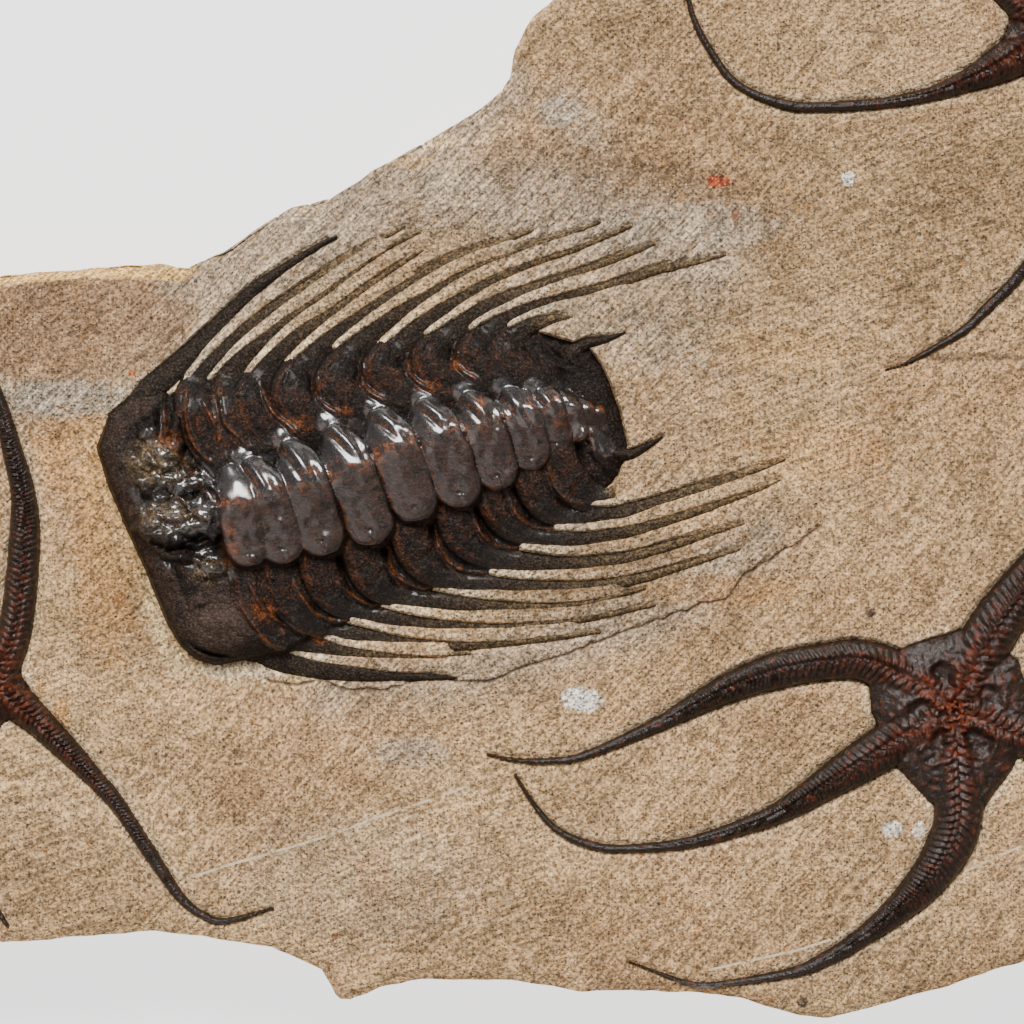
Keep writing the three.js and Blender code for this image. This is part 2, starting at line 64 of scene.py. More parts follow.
# The trilobite's thorax. A row's first point is on the ring's end, and its fifth is the root of the spine.
UPPER_RIBS = [
    [(225, 462), (207, 440), (197, 415), (193, 393), (199, 376), (215, 359), (245, 329), (290, 298),
     (340, 264), (405, 226)],
    [(247, 455), (237, 437), (230, 415), (227, 393), (230, 375), (240, 358), (265, 338), (290, 316),
     (315, 300), (340, 281), (380, 252), (420, 232)],
    [(285, 437), (264, 425), (254, 405), (254, 388), (265, 370), (285, 345), (310, 325), (340, 306),
     (365, 288), (390, 271), (423, 250)],
    [(327, 422), (302, 412), (291, 395), (296, 375), (312, 358), (340, 330), (375, 304), (405, 286),
     (455, 258), (505, 241), (533, 230)],
    [(372, 406), (345, 398), (336, 382), (343, 364), (356, 348), (378, 326), (405, 307), (430, 292),
     (480, 265), (530, 247), (567, 235), (600, 222)],
    [(417, 397), (392, 385), (382, 370), (388, 356), (402, 344), (425, 322), (455, 300), (492, 279),
     (530, 263), (580, 247), (632, 226)],
    [(462, 389), (437, 375), (430, 360), (438, 346), (451, 334), (480, 310), (505, 298), (555, 281),
     (605, 263), (655, 244)],
    [(502, 382), (484, 370), (476, 355), (481, 342), (492, 330), (508, 318), (530, 306), (567, 294),
     (605, 286), (655, 271), (680, 266), (725, 255)],
    [(533, 384), (518, 372), (508, 358), (510, 343), (520, 330), (534, 323), (550, 319), (572, 317)],
]
LOWER_RIBS = [
    [(250, 545), (247, 568), (254, 600), (270, 626), (298, 643), (330, 649), (355, 651), (405, 655),
     (455, 654), (470, 653)],
    [(283, 540), (280, 565), (287, 593), (305, 616), (332, 630), (355, 637), (405, 642), (455, 644),
     (505, 642), (530, 640), (600, 632)],
    [(322, 532), (318, 560), (325, 583), (340, 600), (367, 613), (405, 621), (455, 626), (505, 627),
     (530, 624), (580, 619), (655, 605)],
    [(370, 521), (362, 548), (370, 573), (386, 588), (410, 597), (455, 605), (505, 606), (530, 607),
     (580, 604), (630, 592), (645, 588)],
    [(414, 498), (410, 530), (418, 554), (436, 570), (464, 580), (505, 585), (530, 586), (580, 586),
     (630, 580), (680, 567), (740, 549)],
    [(458, 484), (455, 510), (462, 533), (480, 549), (507, 559), (530, 563), (567, 564), (605, 561),
     (630, 557), (680, 543), (744, 523)],
    [(496, 467), (493, 490), (502, 512), (518, 527), (540, 536), (580, 538), (605, 534), (630, 531),
     (655, 523), (705, 508), (755, 491), (780, 480)],
    [(530, 450), (530, 470), (538, 492), (552, 508), (572, 515), (600, 516), (630, 511), (655, 503),
     (705, 487), (755, 471), (785, 459)],
    [(553, 435), (558, 460), (570, 481), (586, 495), (604, 497), (614, 489)],
]
HEAD_SPINES = [
    [(140, 440), (135, 415), (144, 396), (165, 377), (188, 356), (210, 334), (235, 309), (262, 283),
     (318, 246), (336, 237)],
    [(205, 615), (235, 643), (270, 657), (300, 665), (330, 670), (380, 675), (430, 677), (457, 678)],
]
TAIL_SPINES = [
    [(566, 362), (576, 350), (588, 343), (604, 340), (625, 333)],
    [(606, 450), (626, 455), (642, 449), (662, 437)],
]
UPPER_FIN_TIPS = [(178, 390), (210, 378), (246, 378), (288, 362), (336, 346), (377, 348), (427, 333),
                  (471, 328), (510, 325)]
LOWER_FIN_TIPS = [(285, 650), (312, 632), (352, 619), (383, 604), (436, 587), (492, 572), (523, 546),
                  (557, 527), (588, 503)]
BODY_EDGE = [
    (178, 390), (210, 378), (246, 378), (288, 362), (336, 346), (377, 348), (427, 333), (471, 328),
    (531, 330), (588, 347), (610, 385), (627, 445), (618, 475), (588, 503), (557, 527), (523, 546),
    (492, 572), (436, 587), (383, 604), (352, 619), (312, 632), (285, 650), (215, 640), (150, 540),
    (130, 440),
]
HEAD_EDGE = [
    (165, 392), (130, 397), (110, 415), (99, 448), (108, 478), (125, 520), (148, 570), (168, 620),
    (182, 644), (197, 657), (215, 662), (250, 656), (286, 650), (262, 605), (247, 560), (232, 500),
    (200, 440),
]
TAIL_EDGE = [
    (540, 334), (566, 341), (588, 347), (601, 364), (611, 386), (621, 415), (627, 445), (625, 460),
    (612, 483), (590, 500), (568, 470), (556, 400),
]

# Ridges of the shell: across the upper ribs, and down to the tips of the lower fins.
UPPER_RIDGES = [
    [(165, 405), (168, 439), (178, 453), (188, 467), (200, 482)],
    [(187, 385), (188, 419), (195, 444), (206, 457), (216, 464)],
    [(219, 381), (221, 399), (226, 423), (239, 436), (250, 447)],
    [(261, 381), (267, 399), (277, 416), (287, 423), (301, 437)],
    [(202, 398), (209, 410), (216, 425), (221, 441), (224, 460)],
    [(318, 372), (316, 388), (322, 402), (338, 414)],
    [(364, 362), (362, 378), (370, 392), (388, 402)],
    [(410, 356), (409, 370), (418, 382), (436, 392)],
    [(457, 345), (456, 360), (464, 372), (480, 382)],
]
LOWER_RIDGES = [
    [(242, 605), (250, 618), (258, 628), (268, 642), (284, 650)],
    [(250, 580), (257, 595), (265, 607), (278, 620), (300, 632), (311, 633)],
    [(295, 580), (303, 597), (315, 612), (325, 617), (340, 622), (351, 620)],
    [(335, 580), (345, 588), (355, 597), (366, 603), (382, 606)],
    [(389, 520), (389, 550), (393, 570), (402, 580), (420, 588), (435, 588)],
    [(435, 515), (437, 540), (450, 562), (466, 571), (490, 573)],
    [(475, 510), (480, 530), (492, 543), (508, 548), (522, 547)],
    [(508, 492), (514, 510), (526, 522), (540, 528), (556, 528)],
    [(549, 470), (555, 488), (566, 499), (576, 503), (588, 504)],
]
HEAD_RIDGES = [
    [(146, 492), (160, 498), (178, 496), (190, 503)],
    [(160, 514), (176, 519), (196, 514), (212, 520)],
    [(138, 446), (146, 458), (160, 466), (178, 468)],
    [(180, 540), (196, 546), (212, 540), (226, 545)],
    [(203, 475), (212, 484), (222, 492), (232, 503)],
    [(152, 545), (170, 556), (186, 556), (204, 562)],
]
RING_STREAKS = [
    [(203, 474), (214, 485), (232, 501)], [(152, 438), (163, 455), (177, 471)],
    [(181, 488), (197, 505), (214, 518)], [(160, 505), (176, 515), (194, 522)],
    [(204, 560), (216, 569), (227, 574)], [(243, 457), (256, 469), (273, 488)],
    [(267, 463), (276, 475), (286, 491)], [(282, 439), (297, 454), (313, 476)],
    [(317, 456), (324, 467), (331, 481)], [(327, 422), (343, 434), (359, 451)],
    [(356, 427), (366, 440), (376, 456)], [(374, 410), (390, 420), (406, 433)],
    [(407, 424), (416, 433), (426, 446)], [(420, 400), (436, 411), (451, 426)],
    [(454, 419), (461, 426), (469, 436)], [(462, 392), (477, 404), (491, 419)],
    [(496, 407), (501, 413), (506, 421)], [(501, 387), (514, 401), (526, 419)],
    [(526, 401), (532, 408), (539, 418)], [(532, 387), (544, 396), (556, 408)],
    [(557, 390), (563, 398), (570, 405)], [(578, 432), (592, 436), (604, 447)],
]
HEAD_SLOT = [(186, 640), (200, 650), (216, 655), (236, 657)]
EYE_SLIT = [(233, 572), (236, 583), (233, 596)]

# The head's lobes: middle, radii and height over the face.
HEAD_LOBES = [
    ((176, 524), (36, 24), 6.6), ((214, 512), (24, 26), 7.6), ((160, 458), (22, 14), 6.3),
    ((214, 568), (18, 10), 6.5), ((184, 556), (16, 8), 6.0), ((190, 486), (20, 9), 6.6),
    ((148, 482), (14, 8), 5.7), ((203, 603), (10, 7), 5.4), ((150, 424), (12, 18), 5.6),
    ((178, 436), (8, 20), 5.9),
]
TAIL_RIDGES = [
    [(549, 462), (553, 480), (564, 496), (586, 504)],
    [(570, 446), (575, 464), (585, 481), (600, 493)],
    [(590, 440), (596, 456), (606, 468), (614, 474)],
    [(536, 338), (543, 352), (556, 364), (572, 370)],
    [(556, 342), (563, 354), (576, 364), (590, 368)],
]
RUST_SPOTS = [
    ((428, 386), (14, 8)), ((455, 364), (5, 8)), ((345, 412), (9, 5)), ((300, 425), (14, 9)),
    ((265, 610), (12, 14)), ((232, 545), (10, 22)), ((585, 440), (10, 4)), ((170, 440), (14, 9)),
    ((480, 405), (8, 7)), ((318, 640), (9, 5)), ((560, 420), (8, 9)),
]

# Millimetres: the ribs' crests from ring to spine, and the rings' half widths from head to tail.
RIB_CRESTS = (5.0, 5.2, 4.8, 3.5, 1.7)
RING_WIDTHS = (4.3, 4.3, 4.7, 4.8, 4.8, 4.7, 4.4, 4.0, 3.4)
TAIL_RINGS = [((557, 389), (576, 432), 2.2), ((573, 396), (590, 428), 1.9), ((588, 404), (600, 426), 1.6)]

# A brittle star's arms: [across, down, half width].
RIGHT_STAR = {
    "edge": [(960, 630), (912, 645), (868, 668), (872, 712), (898, 768), (930, 802), (985, 806), (1012, 770),
             (1036, 716), (1018, 660)],
    "middle": (955, 712),
    "arms": [
        [(930, 690, 24), (868, 662, 20), (827, 662, 18), (778, 671, 18), (730, 688, 14), (688, 709, 10),
         (653, 727, 7), (584, 756, 4), (549, 761, 3), (515, 760, 2), (487, 754, 1)],
        [(930, 720, 24), (862, 762, 20), (827, 784, 16), (792, 806, 12), (758, 822, 9), (688, 843, 6),
         (619, 849, 4), (584, 843, 4), (556, 829, 3), (535, 806, 2.5), (515, 775, 1.5)],
        [(955, 740, 27), (959, 815, 24), (945, 855, 22), (921, 888, 18), (893, 914, 13), (862, 938, 9),
         (827, 959, 7), (792, 973, 5), (723, 984, 3), (688, 983, 2.5), (629, 962, 1)],
        [(960, 690, 26), (980, 652, 26), (1002, 617, 25), (1030, 580, 22), (1075, 522, 15),
         (1120, 465, 9), (1150, 415, 4), (1165, 380, 1.5)],
        [(970, 715, 26), (1010, 730, 24), (1065, 750, 19), (1125, 775, 13), (1180, 795, 8),
         (1222, 790, 4), (1245, 760, 1.5)],
    ],
}
LEFT_STAR = {
    "edge": [(-30, 655), (-8, 645), (14, 655), (28, 690), (16, 718), (-16, 730), (-42, 716), (-46, 682)],
    "middle": (-8, 688),
    "arms": [
        [(-5, 680, 18), (12, 640, 17), (20, 590, 16), (24, 533, 15), (22, 492, 12), (12, 452, 10),
         (0, 408, 8), (-14, 370, 5), (-28, 338, 2)],
        [(0, 690, 18), (18, 704, 18), (44, 727, 14), (96, 780, 9), (120, 808, 8), (161, 870, 6),
         (181, 898, 5), (201, 914, 4), (225, 921, 3), (273, 908, 1)],
        [(-8, 700, 18), (-22, 745, 14), (-30, 800, 9), (-24, 860, 6), (-10, 898, 4), (8, 926, 2)],
        [(-15, 695, 18), (-48, 716, 14), (-86, 752, 9), (-112, 802, 6), (-110, 850, 3), (-85, 880, 1)],
        [(-15, 680, 18), (-48, 657, 14), (-86, 614, 9), (-115, 560, 6), (-122, 500, 3), (-105, 455, 1)],
    ],
}
TOP_STAR = {
    "edge": [(1050, -10), (1082, 2), (1098, 30), (1096, 62), (1072, 84), (1044, 84), (1016, 70), (1002, 44),
             (1014, 8)],
    "middle": (1052, 38),
    "arms": [
        [(1040, 40, 22), (1005, 62, 19), (966, 81, 11), (930, 94, 7), (882, 103, 5.5), (818, 107, 5),
         (788, 105, 5), (754, 94, 4), (731, 79, 4), (714, 56, 3.5), (698, 28, 3), (689, 0, 2.5),
         (690, -28, 1)],
        [(1060, 45, 22), (1082, 92, 16), (1090, 145, 12), (1072, 205, 9), (1024, 270, 6), (984, 311, 5),
         (961, 332, 4), (910, 361, 2), (885, 370, 1)],
        [(1062, 45, 22), (1102, 80, 16), (1138, 135, 12), (1150, 200, 7), (1132, 262, 2)],
        [(1060, 32, 22), (1100, 12, 17), (1150, 18, 12), (1198, 60, 7), (1222, 125, 4), (1228, 190, 1.5)],
        [(1045, 28, 22), (1016, -2, 16), (978, -28, 11), (925, -48, 7), (868, -58, 4), (820, -50, 1.5)],
    ],
}
STARS = {"brittle_star_right": RIGHT_STAR, "brittle_star_left": LEFT_STAR, "brittle_star_top": TOP_STAR}

# The slab's outline, clockwise from its left end.
SLAB_EDGE = [
    (-190, 430), (-182, 350), (-140, 300), (-70, 283), (0, 272), (100, 264), (163, 259), (186, 265),
    (220, 249), (255, 225), (290, 203), (330, 195), (370, 168), (440, 128), (480, 105), (500, 88),
    (508, 75), (512, 50), (530, 15), (548, 0), (590, -40), (670, -68), (780, -84), (900, -102), (1010, -98),
    (1100, -74), (1165, -34), (1212, 22), (1248, 92), (1266, 180), (1275, 290), (1290, 400), (1284, 520),
    (1272, 640), (1266, 740), (1236, 820), (1180, 884), (1110, 932), (1024, 964), (931, 994), (858, 1014),
    (827, 1022), (803, 1020), (740, 1001), (688, 995), (580, 994), (511, 983), (420, 982), (380, 990),
    (345, 1005), (335, 1000), (320, 972), (270, 950), (200, 938), (150, 933), (70, 940), (0, 945),
    (-60, 940), (-112, 915), (-150, 860), (-168, 780), (-172, 690), (-186, 600), (-180, 520),
]
BODY_LINE = [(240, 470), (420, 440), (600, 400)]
HEAD_LINE = [(99, 448), (125, 520), (168, 620), (197, 657), (300, 668)]

# Marks on the slab's face.
CRACK = [
    (265, 680), (300, 684), (320, 680), (345, 690), (380, 690), (400, 685), (440, 678), (480, 683),
    (530, 665), (560, 655), (600, 640), (660, 620), (700, 605), (725, 598), (745, 575), (770, 560),
    (800, 540), (820, 525),
]
VEINS = [
    [(189, 878), (225, 866), (281, 850), (321, 838), (375, 818), (430, 800), (465, 787)],
    [(968, 870), (985, 862), (1024, 845), (1090, 812)],
    [(710, 970), (800, 950), (830, 940)],
]
VEIN_HALF_WIDTH = 0.34
DARK_ZONES = [
    ((900, 190), (150, 90), 0.55), ((600, 195), (130, 40), 0.9), ((610, 590), (120, 50), 0.85),
    ((60, 880), (90, 50), 0.4), ((920, 960), (110, 40), 0.4), ((540, 255), (150, 40), 0.5),
    ((620, 60), (90, 60), 0.4), ((150, 600), (30, 60), 0.35), ((700, 280), (120, 40), 0.35),
    ((80, 310), (110, 35), 0.5), ((560, 940), (160, 40), 0.3),
]
MARKS = [
    ((320, 175), (34, 10), "tan", 0.6), ((400, 160), (30, 8), "tan", 0.7),
    ((440, 140), (20, 7), "yellow", 0.7), ((247, 670), (52, 8), "cream", 0.6),
    ((720, 590), (80, 16), "ochre", 0.35), ((110, 545), (34, 110), "ochre", 0.45),
    ((76, 450), (36, 50), "ochre", 0.4), ((690, 420), (60, 50), "ochre", 0.3),
    ((360, 880), (120, 60), "pale_grey", 0.2), ((60, 722), (9, 24), "ochre", 0.6),
    ((40, 690), (5, 12), "ochre", 0.5), ((820, 450), (60, 26), "ochre", 0.3),
    ((770, 352), (70, 20), "ochre", 0.25), ((410, 752), (34, 14), "pale_grey", 0.5),
    ((560, 112), (18, 16), "pale_grey", 0.6), ((700, 225), (80, 22), "pale_grey", 0.4),
    ((60, 398), (58, 17), "pale_grey", 0.75), ((968, 357), (60, 4), "speck", 0.5),
    ((372, 880), (16, 30), "red_brown", 0.25), ((135, 596), (9, 16), "speck", 0.35),
    ((165, 622), (8, 12), "speck", 0.3), ((118, 600), (6, 8), "red_brown", 0.6),
    ((812, 294), (30, 10), "speck", 0.25), ((580, 700), (17, 11), "white", 0.95),
    ((848, 179), (6, 7), "white", 0.95), ((893, 828), (9, 8), "white", 0.75),
    ((920, 830), (6, 8), "white", 0.55), ((718, 181), (11, 6), "red", 0.85),
    ((132, 373), (3, 3), "red", 0.9), ((870, 613), (5, 4), "speck", 0.9),
    ((335, 937), (4, 4), "red_brown", 0.8), ((803, 1003), (5, 4), "speck", 0.8),
    ((736, 215), (4, 8), "red_brown", 0.6),
]
UPPER_BEVEL = [(180, 268), (255, 225), (330, 195), (440, 128), (500, 88)]
BROKEN_EDGE = [(-140, 298), (0, 268), (100, 260), (176, 262)]

# Tool-marked grey ground: the line that it follows, its reach in millimetres and its strength.
GREY_LINES = [
    ([(150, 400), (230, 300), (330, 235), (440, 190), (560, 215), (700, 262)], 17, 1),
    ([(560, 300), (660, 340), (680, 420)], 20, 0.75),
    ([(330, 690), (480, 670), (640, 620), (760, 540)], 10, 0.8),
    ([(560, 110), (585, 135)], 9, 0.8),
]

# Millimetres: the fossils' flat underside, and a height under it where a fossil has no shell.
UNDERSIDE = 26.9
NO_SHELL = 20.0

# Most triangles of a piece.
LARGE_PIECE = 194000
STAR_PIECE = 110000

# Shares of the slab's thickness at which its broken side steps in or out, and the fields of its rim.
SIDE_LEVELS = (0.9, 0.8, 0.7, 0.6, 0.5, 0.42, 0.34, 0.24, 0.15, 0.07, 0.0)
RIM_FIELDS = ("foot_x", "foot_y", "out_x", "out_y")

# The stage, in metres. A lamp's name, place, spread in degrees and strength.
FLOOR_SIZE = 4
FLOOR_GREY = 0.62
FLOOR_GLOW = 1.75
SKY_STRENGTH = 0.24
LAMPS = (("Window above", (-0.10, 0.76, 0.85), 28, 4.7), ("Fill", (-0.5, -0.5, 0.9), 50, 0.5))
CAMERA_PLACE = (-0.0076, -0.0104, 0.8833)
CAMERA_LENS = 150


def linear(red, green, blue):
    """A linear colour from the usual 0 to 255 values."""
    shares = [value / 255 for value in (red, green, blue)]
    return tuple(share / 12.92 if share <= 0.04045 else ((share + 0.055) / 1.055) ** 2.4 for share in shares)


def colour_setting(label, text, red, green, blue):
    return bpy.props.FloatVectorProperty(
        name=label, description=text, subtype="COLOR", size=3, min=0, max=1, default=linear(red, green, blue))


def length_setting(label, text, millimetres):
    return bpy.props.FloatProperty(
        name=label, description=text, subtype="DISTANCE", unit="LENGTH", default=millimetres * MM)


class SlabSettings(bpy.types.PropertyGroup):
    """Sizes and colours of the slab."""

    face_height: length_setting("Face height", "Height of the slab's face over its back", 30.0)
    swell_height: length_setting("Swell", "How much the face swells and dips", 0.7)
    fan_rise: length_setting("Fan rise", "How far the face rises among the spines", 1.9)
    moat_depth: length_setting("Moat depth", "How far the face is cut down round the head", 2.6)
    groove_depth: length_setting("Groove depth", "Depth of the groove that each spine lies in", 1.7)
    fin_rise: length_setting("Fin rise", "How far a fin of matrix between two spines stands up", 0.3)
    tan: colour_setting("Tan", "Sandy matrix", 196, 160, 116)
    dark_tan: colour_setting("Dark tan", "Darker matrix in patches", 178, 140, 100)
    grey: colour_setting("Grey", "Tool-marked grey matrix", 176, 154, 128)
    # Cream is the fresh pale matrix of rims, fins and veins, and also the painted highlight on lips that face
    # the lamp.
    cream: colour_setting("Cream", "Fresh rims and fins", 226, 204, 170)
    yellow: colour_setting("Yellow", "Weathered broken edge", 214, 184, 134)
    fresh: colour_setting("Fresh break", "Freshly broken edge", 240, 190, 112)
    brown: colour_setting("Brown", "Coarse brown matrix", 158, 124, 93)
    shadow: colour_setting("Shadow", "Darker zones", 116, 90, 64)
    ochre: colour_setting("Ochre", "Iron stains", 190, 136, 74)
    speck: colour_setting("Specks", "Dark grains", 74, 60, 50)
    pale_grey: colour_setting("Pale grey", "Scraped grey patches", 174, 160, 140)
    white: colour_setting("White", "Bits of pale shell and chips", 244, 236, 220)
    red: colour_setting("Brick red", "Red marks", 158, 56, 30)
    red_brown: colour_setting("Red-brown", "Rusty specks", 130, 78, 44)


class TrilobiteSettings(bpy.types.PropertyGroup):
    """Sizes and colours of the trilobite."""

    axis_crest: length_setting("Axis crest", "Height of the axial rings over the face", 8.9)
    rib_half_width: length_setting("Rib half width", "Half the width of a rib", 3.7)
    spine_half_width: length_setting("Spine half width", "Half the width of a spine at its root", 2.35)
    shell: colour_setting("Shell", "Petrified shell", 21, 13, 8)
    # The lobes' paler satin brown: worn shell, partly painted sheen.
    lobe: colour_setting("Lobes", "Worn satin lobes of the axis", 56, 37, 28)
    rust: colour_setting("Rust", "Iron-stained ridges", 106, 53, 10)
    spine: colour_setting("Spines", "Dull shell of the spines", 64, 51, 38)
    ash: colour_setting("Ash", "Pale grains in the shell", 120, 104, 92)
    # Olive thin shell and matrix film, also used for the painted highlight on the head's bumps.
    olive_and_sheen: colour_setting("Olive", "Thin shell on the cheeks", 112, 92, 62)


class StarSettings(bpy.types.PropertyGroup):
    """Sizes and colours of the brittle stars."""

    disc_radius: length_setting("Disc radius", "Middle of a star's disc to its edge", 15.0)
    disc_crest: length_setting("Disc crest", "Height of a star's disc over the face", 3.0)
    plate_rise: length_setting("Plate rise", "How far the arm plates stand up", 0.7)
    plates: colour_setting("Plates", "Dark plates", 35, 24, 16)
    red: colour_setting("Red", "Rusty middle of the disc", 118, 47, 12)


class Sheet:
    """A level grid of places, in millimetres, over which heights are worked out."""

    def __init__(self, across, up):
        self.across = across
        self.up = up
        self.x, self.y = np.meshgrid(across, up)
        self.shape = self.x.shape

    def window(self, low, high):
        """The slices of the sheet between two corners."""
        cols = slice(*np.searchsorted(self.across, (low[0], high[0])))
        rows = slice(*np.searchsorted(self.up, (low[1], high[1])))
        return rows, cols

    def read(self, values, x, y):
        """The values between the sheet's places at any points."""
        col = np.clip(np.searchsorted(self.across, x) - 1, 0, len(self.across) - 2)
        row = np.clip(np.searchsorted(self.up, y) - 1, 0, len(self.up) - 2)
        u = np.clip((x - self.across[col]) / (self.across[col + 1] - self.across[col]), 0, 1)
        v = np.clip((y - self.up[row]) / (self.up[row + 1] - self.up[row]), 0, 1)
        lower = values[row, col] * (1 - u) + values[row, col + 1] * u
        upper = values[row + 1, col] * (1 - u) + values[row + 1, col + 1] * u
        return lower * (1 - v) + upper * v

    def bumps(self, size, seed, part=...):
        """Smooth random heights over the sheet or a part of it."""
        return lattice_noise(self.x[part], self.y[part], size, seed)


def at(points):
    """Plan points of the drawing grid in millimetres."""
    places = np.array(points, float)[:, :2]
    return np.column_stack(((places[:, 0] - GRID_MIDDLE[0]) * GRID_STEP,
                            (GRID_MIDDLE[1] - places[:, 1]) * GRID_STEP))


def smooth_line(points, step=0.7):
    """Places along a smooth curve through plan points, and the number of the control point reached."""
    places = at(points)
    if len(places) < 3:
        spread = np.linspace(0, len(places) - 1, 12)
        return np.column_stack([np.interp(spread, range(len(places)), places[:, i]) for i in (0, 1)]), spread
    ends = np.vstack([2 * places[0] - places[1], places, 2 * places[-1] - places[-2]])
    line = []
    marks = []
    for i in range(1, len(ends) - 2):
        a, b, c, d = ends[i - 1:i + 3]
        steps = max(2, int(np.hypot(*(c - b)) / step))
        for t in np.arange(steps) / steps:
            line.append(0.5 * (2 * b + (c - a) * t + (2 * a - 5 * b + 4 * c - d) * t ** 2
                               + (3 * b - a - 3 * c + d) * t ** 3))
            marks.append(i - 1 + t)
    line.append(places[-1])
    marks.append(len(places) - 1)
    return np.array(line), np.array(marks, float)


def run_lengths(line):
    """How far along a line each of its places is."""
    return np.concatenate([[0], np.cumsum(np.hypot(*np.diff(line, axis=0).T))])


class Near:
    """For the part of a sheet near a line: the distance to it, the signed distance to its left, the run along
    it, the control point reached, and how far above it a place is."""

    def __init__(self, sheet, line, marks, reach):
        self.part = sheet.window(line.min(0) - reach, line.max(0) + reach)
        x = sheet.x[self.part]
        y = sheet.y[self.part]
        self.far = np.full(x.shape, float(reach))
        self.left = np.full(x.shape, float(reach))
        self.run = np.zeros(x.shape)
        self.mark = np.zeros(x.shape)
        self.above = np.zeros(x.shape)
        across = sheet.across[self.part[1]]
        up = sheet.up[self.part[0]]
        runs = run_lengths(line)
        self.length = runs[-1]
        for i in range(len(line) - 1):
            a = line[i]
            b = line[i + 1]
            low = np.minimum(a, b) - reach
            high = np.maximum(a, b) + reach
            cols = slice(*np.searchsorted(across, (low[0], high[0])))
            rows = slice(*np.searchsorted(up, (low[1], high[1])))
            along = b - a
            size = along @ along
            if size == 0:
                continue
            px = x[rows, cols] - a[0]
            py = y[rows, cols] - a[1]
            t = np.clip((px * along[0] + py * along[1]) / size, 0, 1)
            dx = px - t * along[0]
            dy = py - t * along[1]
            far = np.hypot(dx, dy)
            closer = far < self.far[rows, cols]
            side = np.where(along[0] * dy - along[1] * dx >= 0, far, -far)
            for own, value in ((self.far, far), (self.left, side), (self.above, dy),
                               (self.run, runs[i] + t * (runs[i + 1] - runs[i])),
                               (self.mark, marks[i] + t * (marks[i + 1] - marks[i]))):
                view = own[rows, cols]
                view[closer] = value[closer]


def inside_depth(sheet, points, reach):
    """How far inside a closed outline each place is, up to the reach; outside is below zero."""
    edge = at(points)
    closed = np.vstack([edge, edge[:1]])
    near = Near(sheet, closed, np.arange(len(closed), dtype=float), reach)
    depth = np.full(sheet.shape, -float(reach))
    x = sheet.x[near.part]
    y = sheet.y[near.part]
    within = np.zeros(x.shape, bool)
    for a, b in zip(closed[:-1], closed[1:]):
        if a[1] != b[1]:
            spans = (a[1] > y) != (b[1] > y)
            within ^= spans & (x < (b[0] - a[0]) * (y - a[1]) / (b[1] - a[1]) + a[0])
    depth[near.part] = np.where(within, near.far, -near.far)
    return depth


def ease(value, low=0.0, high=1.0):
    """Nought below the low value and one above the high one, smooth between."""
    share = np.clip((value - low) / (high - low), 0, 1)
    return share * share * (3 - 2 * share)


def hump(value, middle, width):
    return np.exp(-((value - middle) / width) ** 2)


def ellipse(sheet, middle, radii):
    """Nought in the middle of an ellipse and one on its edge."""
    x, y = at([middle])[0]
    rx = radii[0] * GRID_STEP
    ry = radii[1] * GRID_STEP
    return np.hypot((sheet.x - x) / rx, (sheet.y - y) / ry)


def lattice_noise(x, y, size, seed):
    """Smooth random heights from -1 to 1 with features of about the size, the same on every run."""
    table = np.random.default_rng(seed).uniform(-1, 1, (256, 256))
    u = x / size + 91.7
    v = y / size + 57.3
    col = np.floor(u).astype(int)
    row = np.floor(v).astype(int)
    s = ease(u - col)
    t = ease(v - row)
    values = [[table[(row + i) % 256, (col + j) % 256] for j in (0, 1)] for i in (0, 1)]
    lower = values[0][0] * (1 - s) + values[0][1] * s
    upper = values[1][0] * (1 - s) + values[1][1] * s
    return lower * (1 - t) + upper * t


def lift(field, near, value):
    """Raises a field near a line to a value where it is lower."""
    field[near.part] = np.maximum(field[near.part], value)


def put(field, near, chosen, value):
    """Sets a field near a line to a value at the chosen places."""
    view = field[near.part]
    view[chosen] = value[chosen]


def tapered(near, power=1.0, least=0.04):
    """One halfway along a line, falling towards its ends."""
    return np.sin(math.pi * np.clip(near.run / near.length, least, 1 - least)) ** power


def line_reach(sheet, points, reach):
    """One on a line, falling smoothly to nothing at the reach."""
    line, marks = smooth_line(points)
    near = Near(sheet, line, marks, reach)
    share = np.zeros(sheet.shape)
    share[near.part] = ease(1 - near.far / reach)
    return share


def face_height(sheet, slab):
    """The height of the slab's face before the fossils are cut free."""
    swell = slab.swell_height / MM * np.sin(sheet.x / 46 + 1) * np.cos(sheet.y / 46 - 0.5)
    fan = slab.fan_rise / MM * line_reach(sheet, BODY_LINE, 52)
    moat = slab.moat_depth / MM * line_reach(sheet, HEAD_LINE, 15)
    return slab.face_height / MM + swell + fan - moat


def spine_lines():
    """Every spine: its line, its control marks, the mark of its root, and its share of the usual width."""
    lines = [(points, 4, 1) for points in UPPER_RIBS + LOWER_RIBS]
    lines += [(points, 3, 1) for points in HEAD_SPINES]
    lines += [(TAIL_SPINES[0], 1, 0.6), (TAIL_SPINES[1], 1, 0.45)]
    return [smooth_line(points) + (root, slim) for points, root, slim in lines]


def spine_out(near, line, marks, root):
    """The share of the way from the spine's root to its tip."""
    runs = run_lengths(line)
    start = np.interp(root, marks, runs)
    return np.clip((near.run - start) / (runs[-1] - start), 0, 1)


def spine_half_width(out, shell):
    widest = shell.spine_half_width / MM
    return 0.22 + (widest - 0.22) * (1 - out) ** 0.85


def fin_line(tip, first, second):
    """The middle of the ground between two spines, from the fin's tip outwards."""
    start = at([tip])[0]
    begin = int(np.argmin(np.hypot(*(first - start).T)))
    middle = []
    for place in first[begin:]:
        other = second[int(np.argmin(np.hypot(*(second - place).T)))]
        middle.append((place + other) / 2)
    middle = np.array(middle)
    runs = run_lengths(middle)
    lean = (start - middle[0])[None, :] * (1 - ease(runs, 0, 9))[:, None]
    return middle + lean, runs


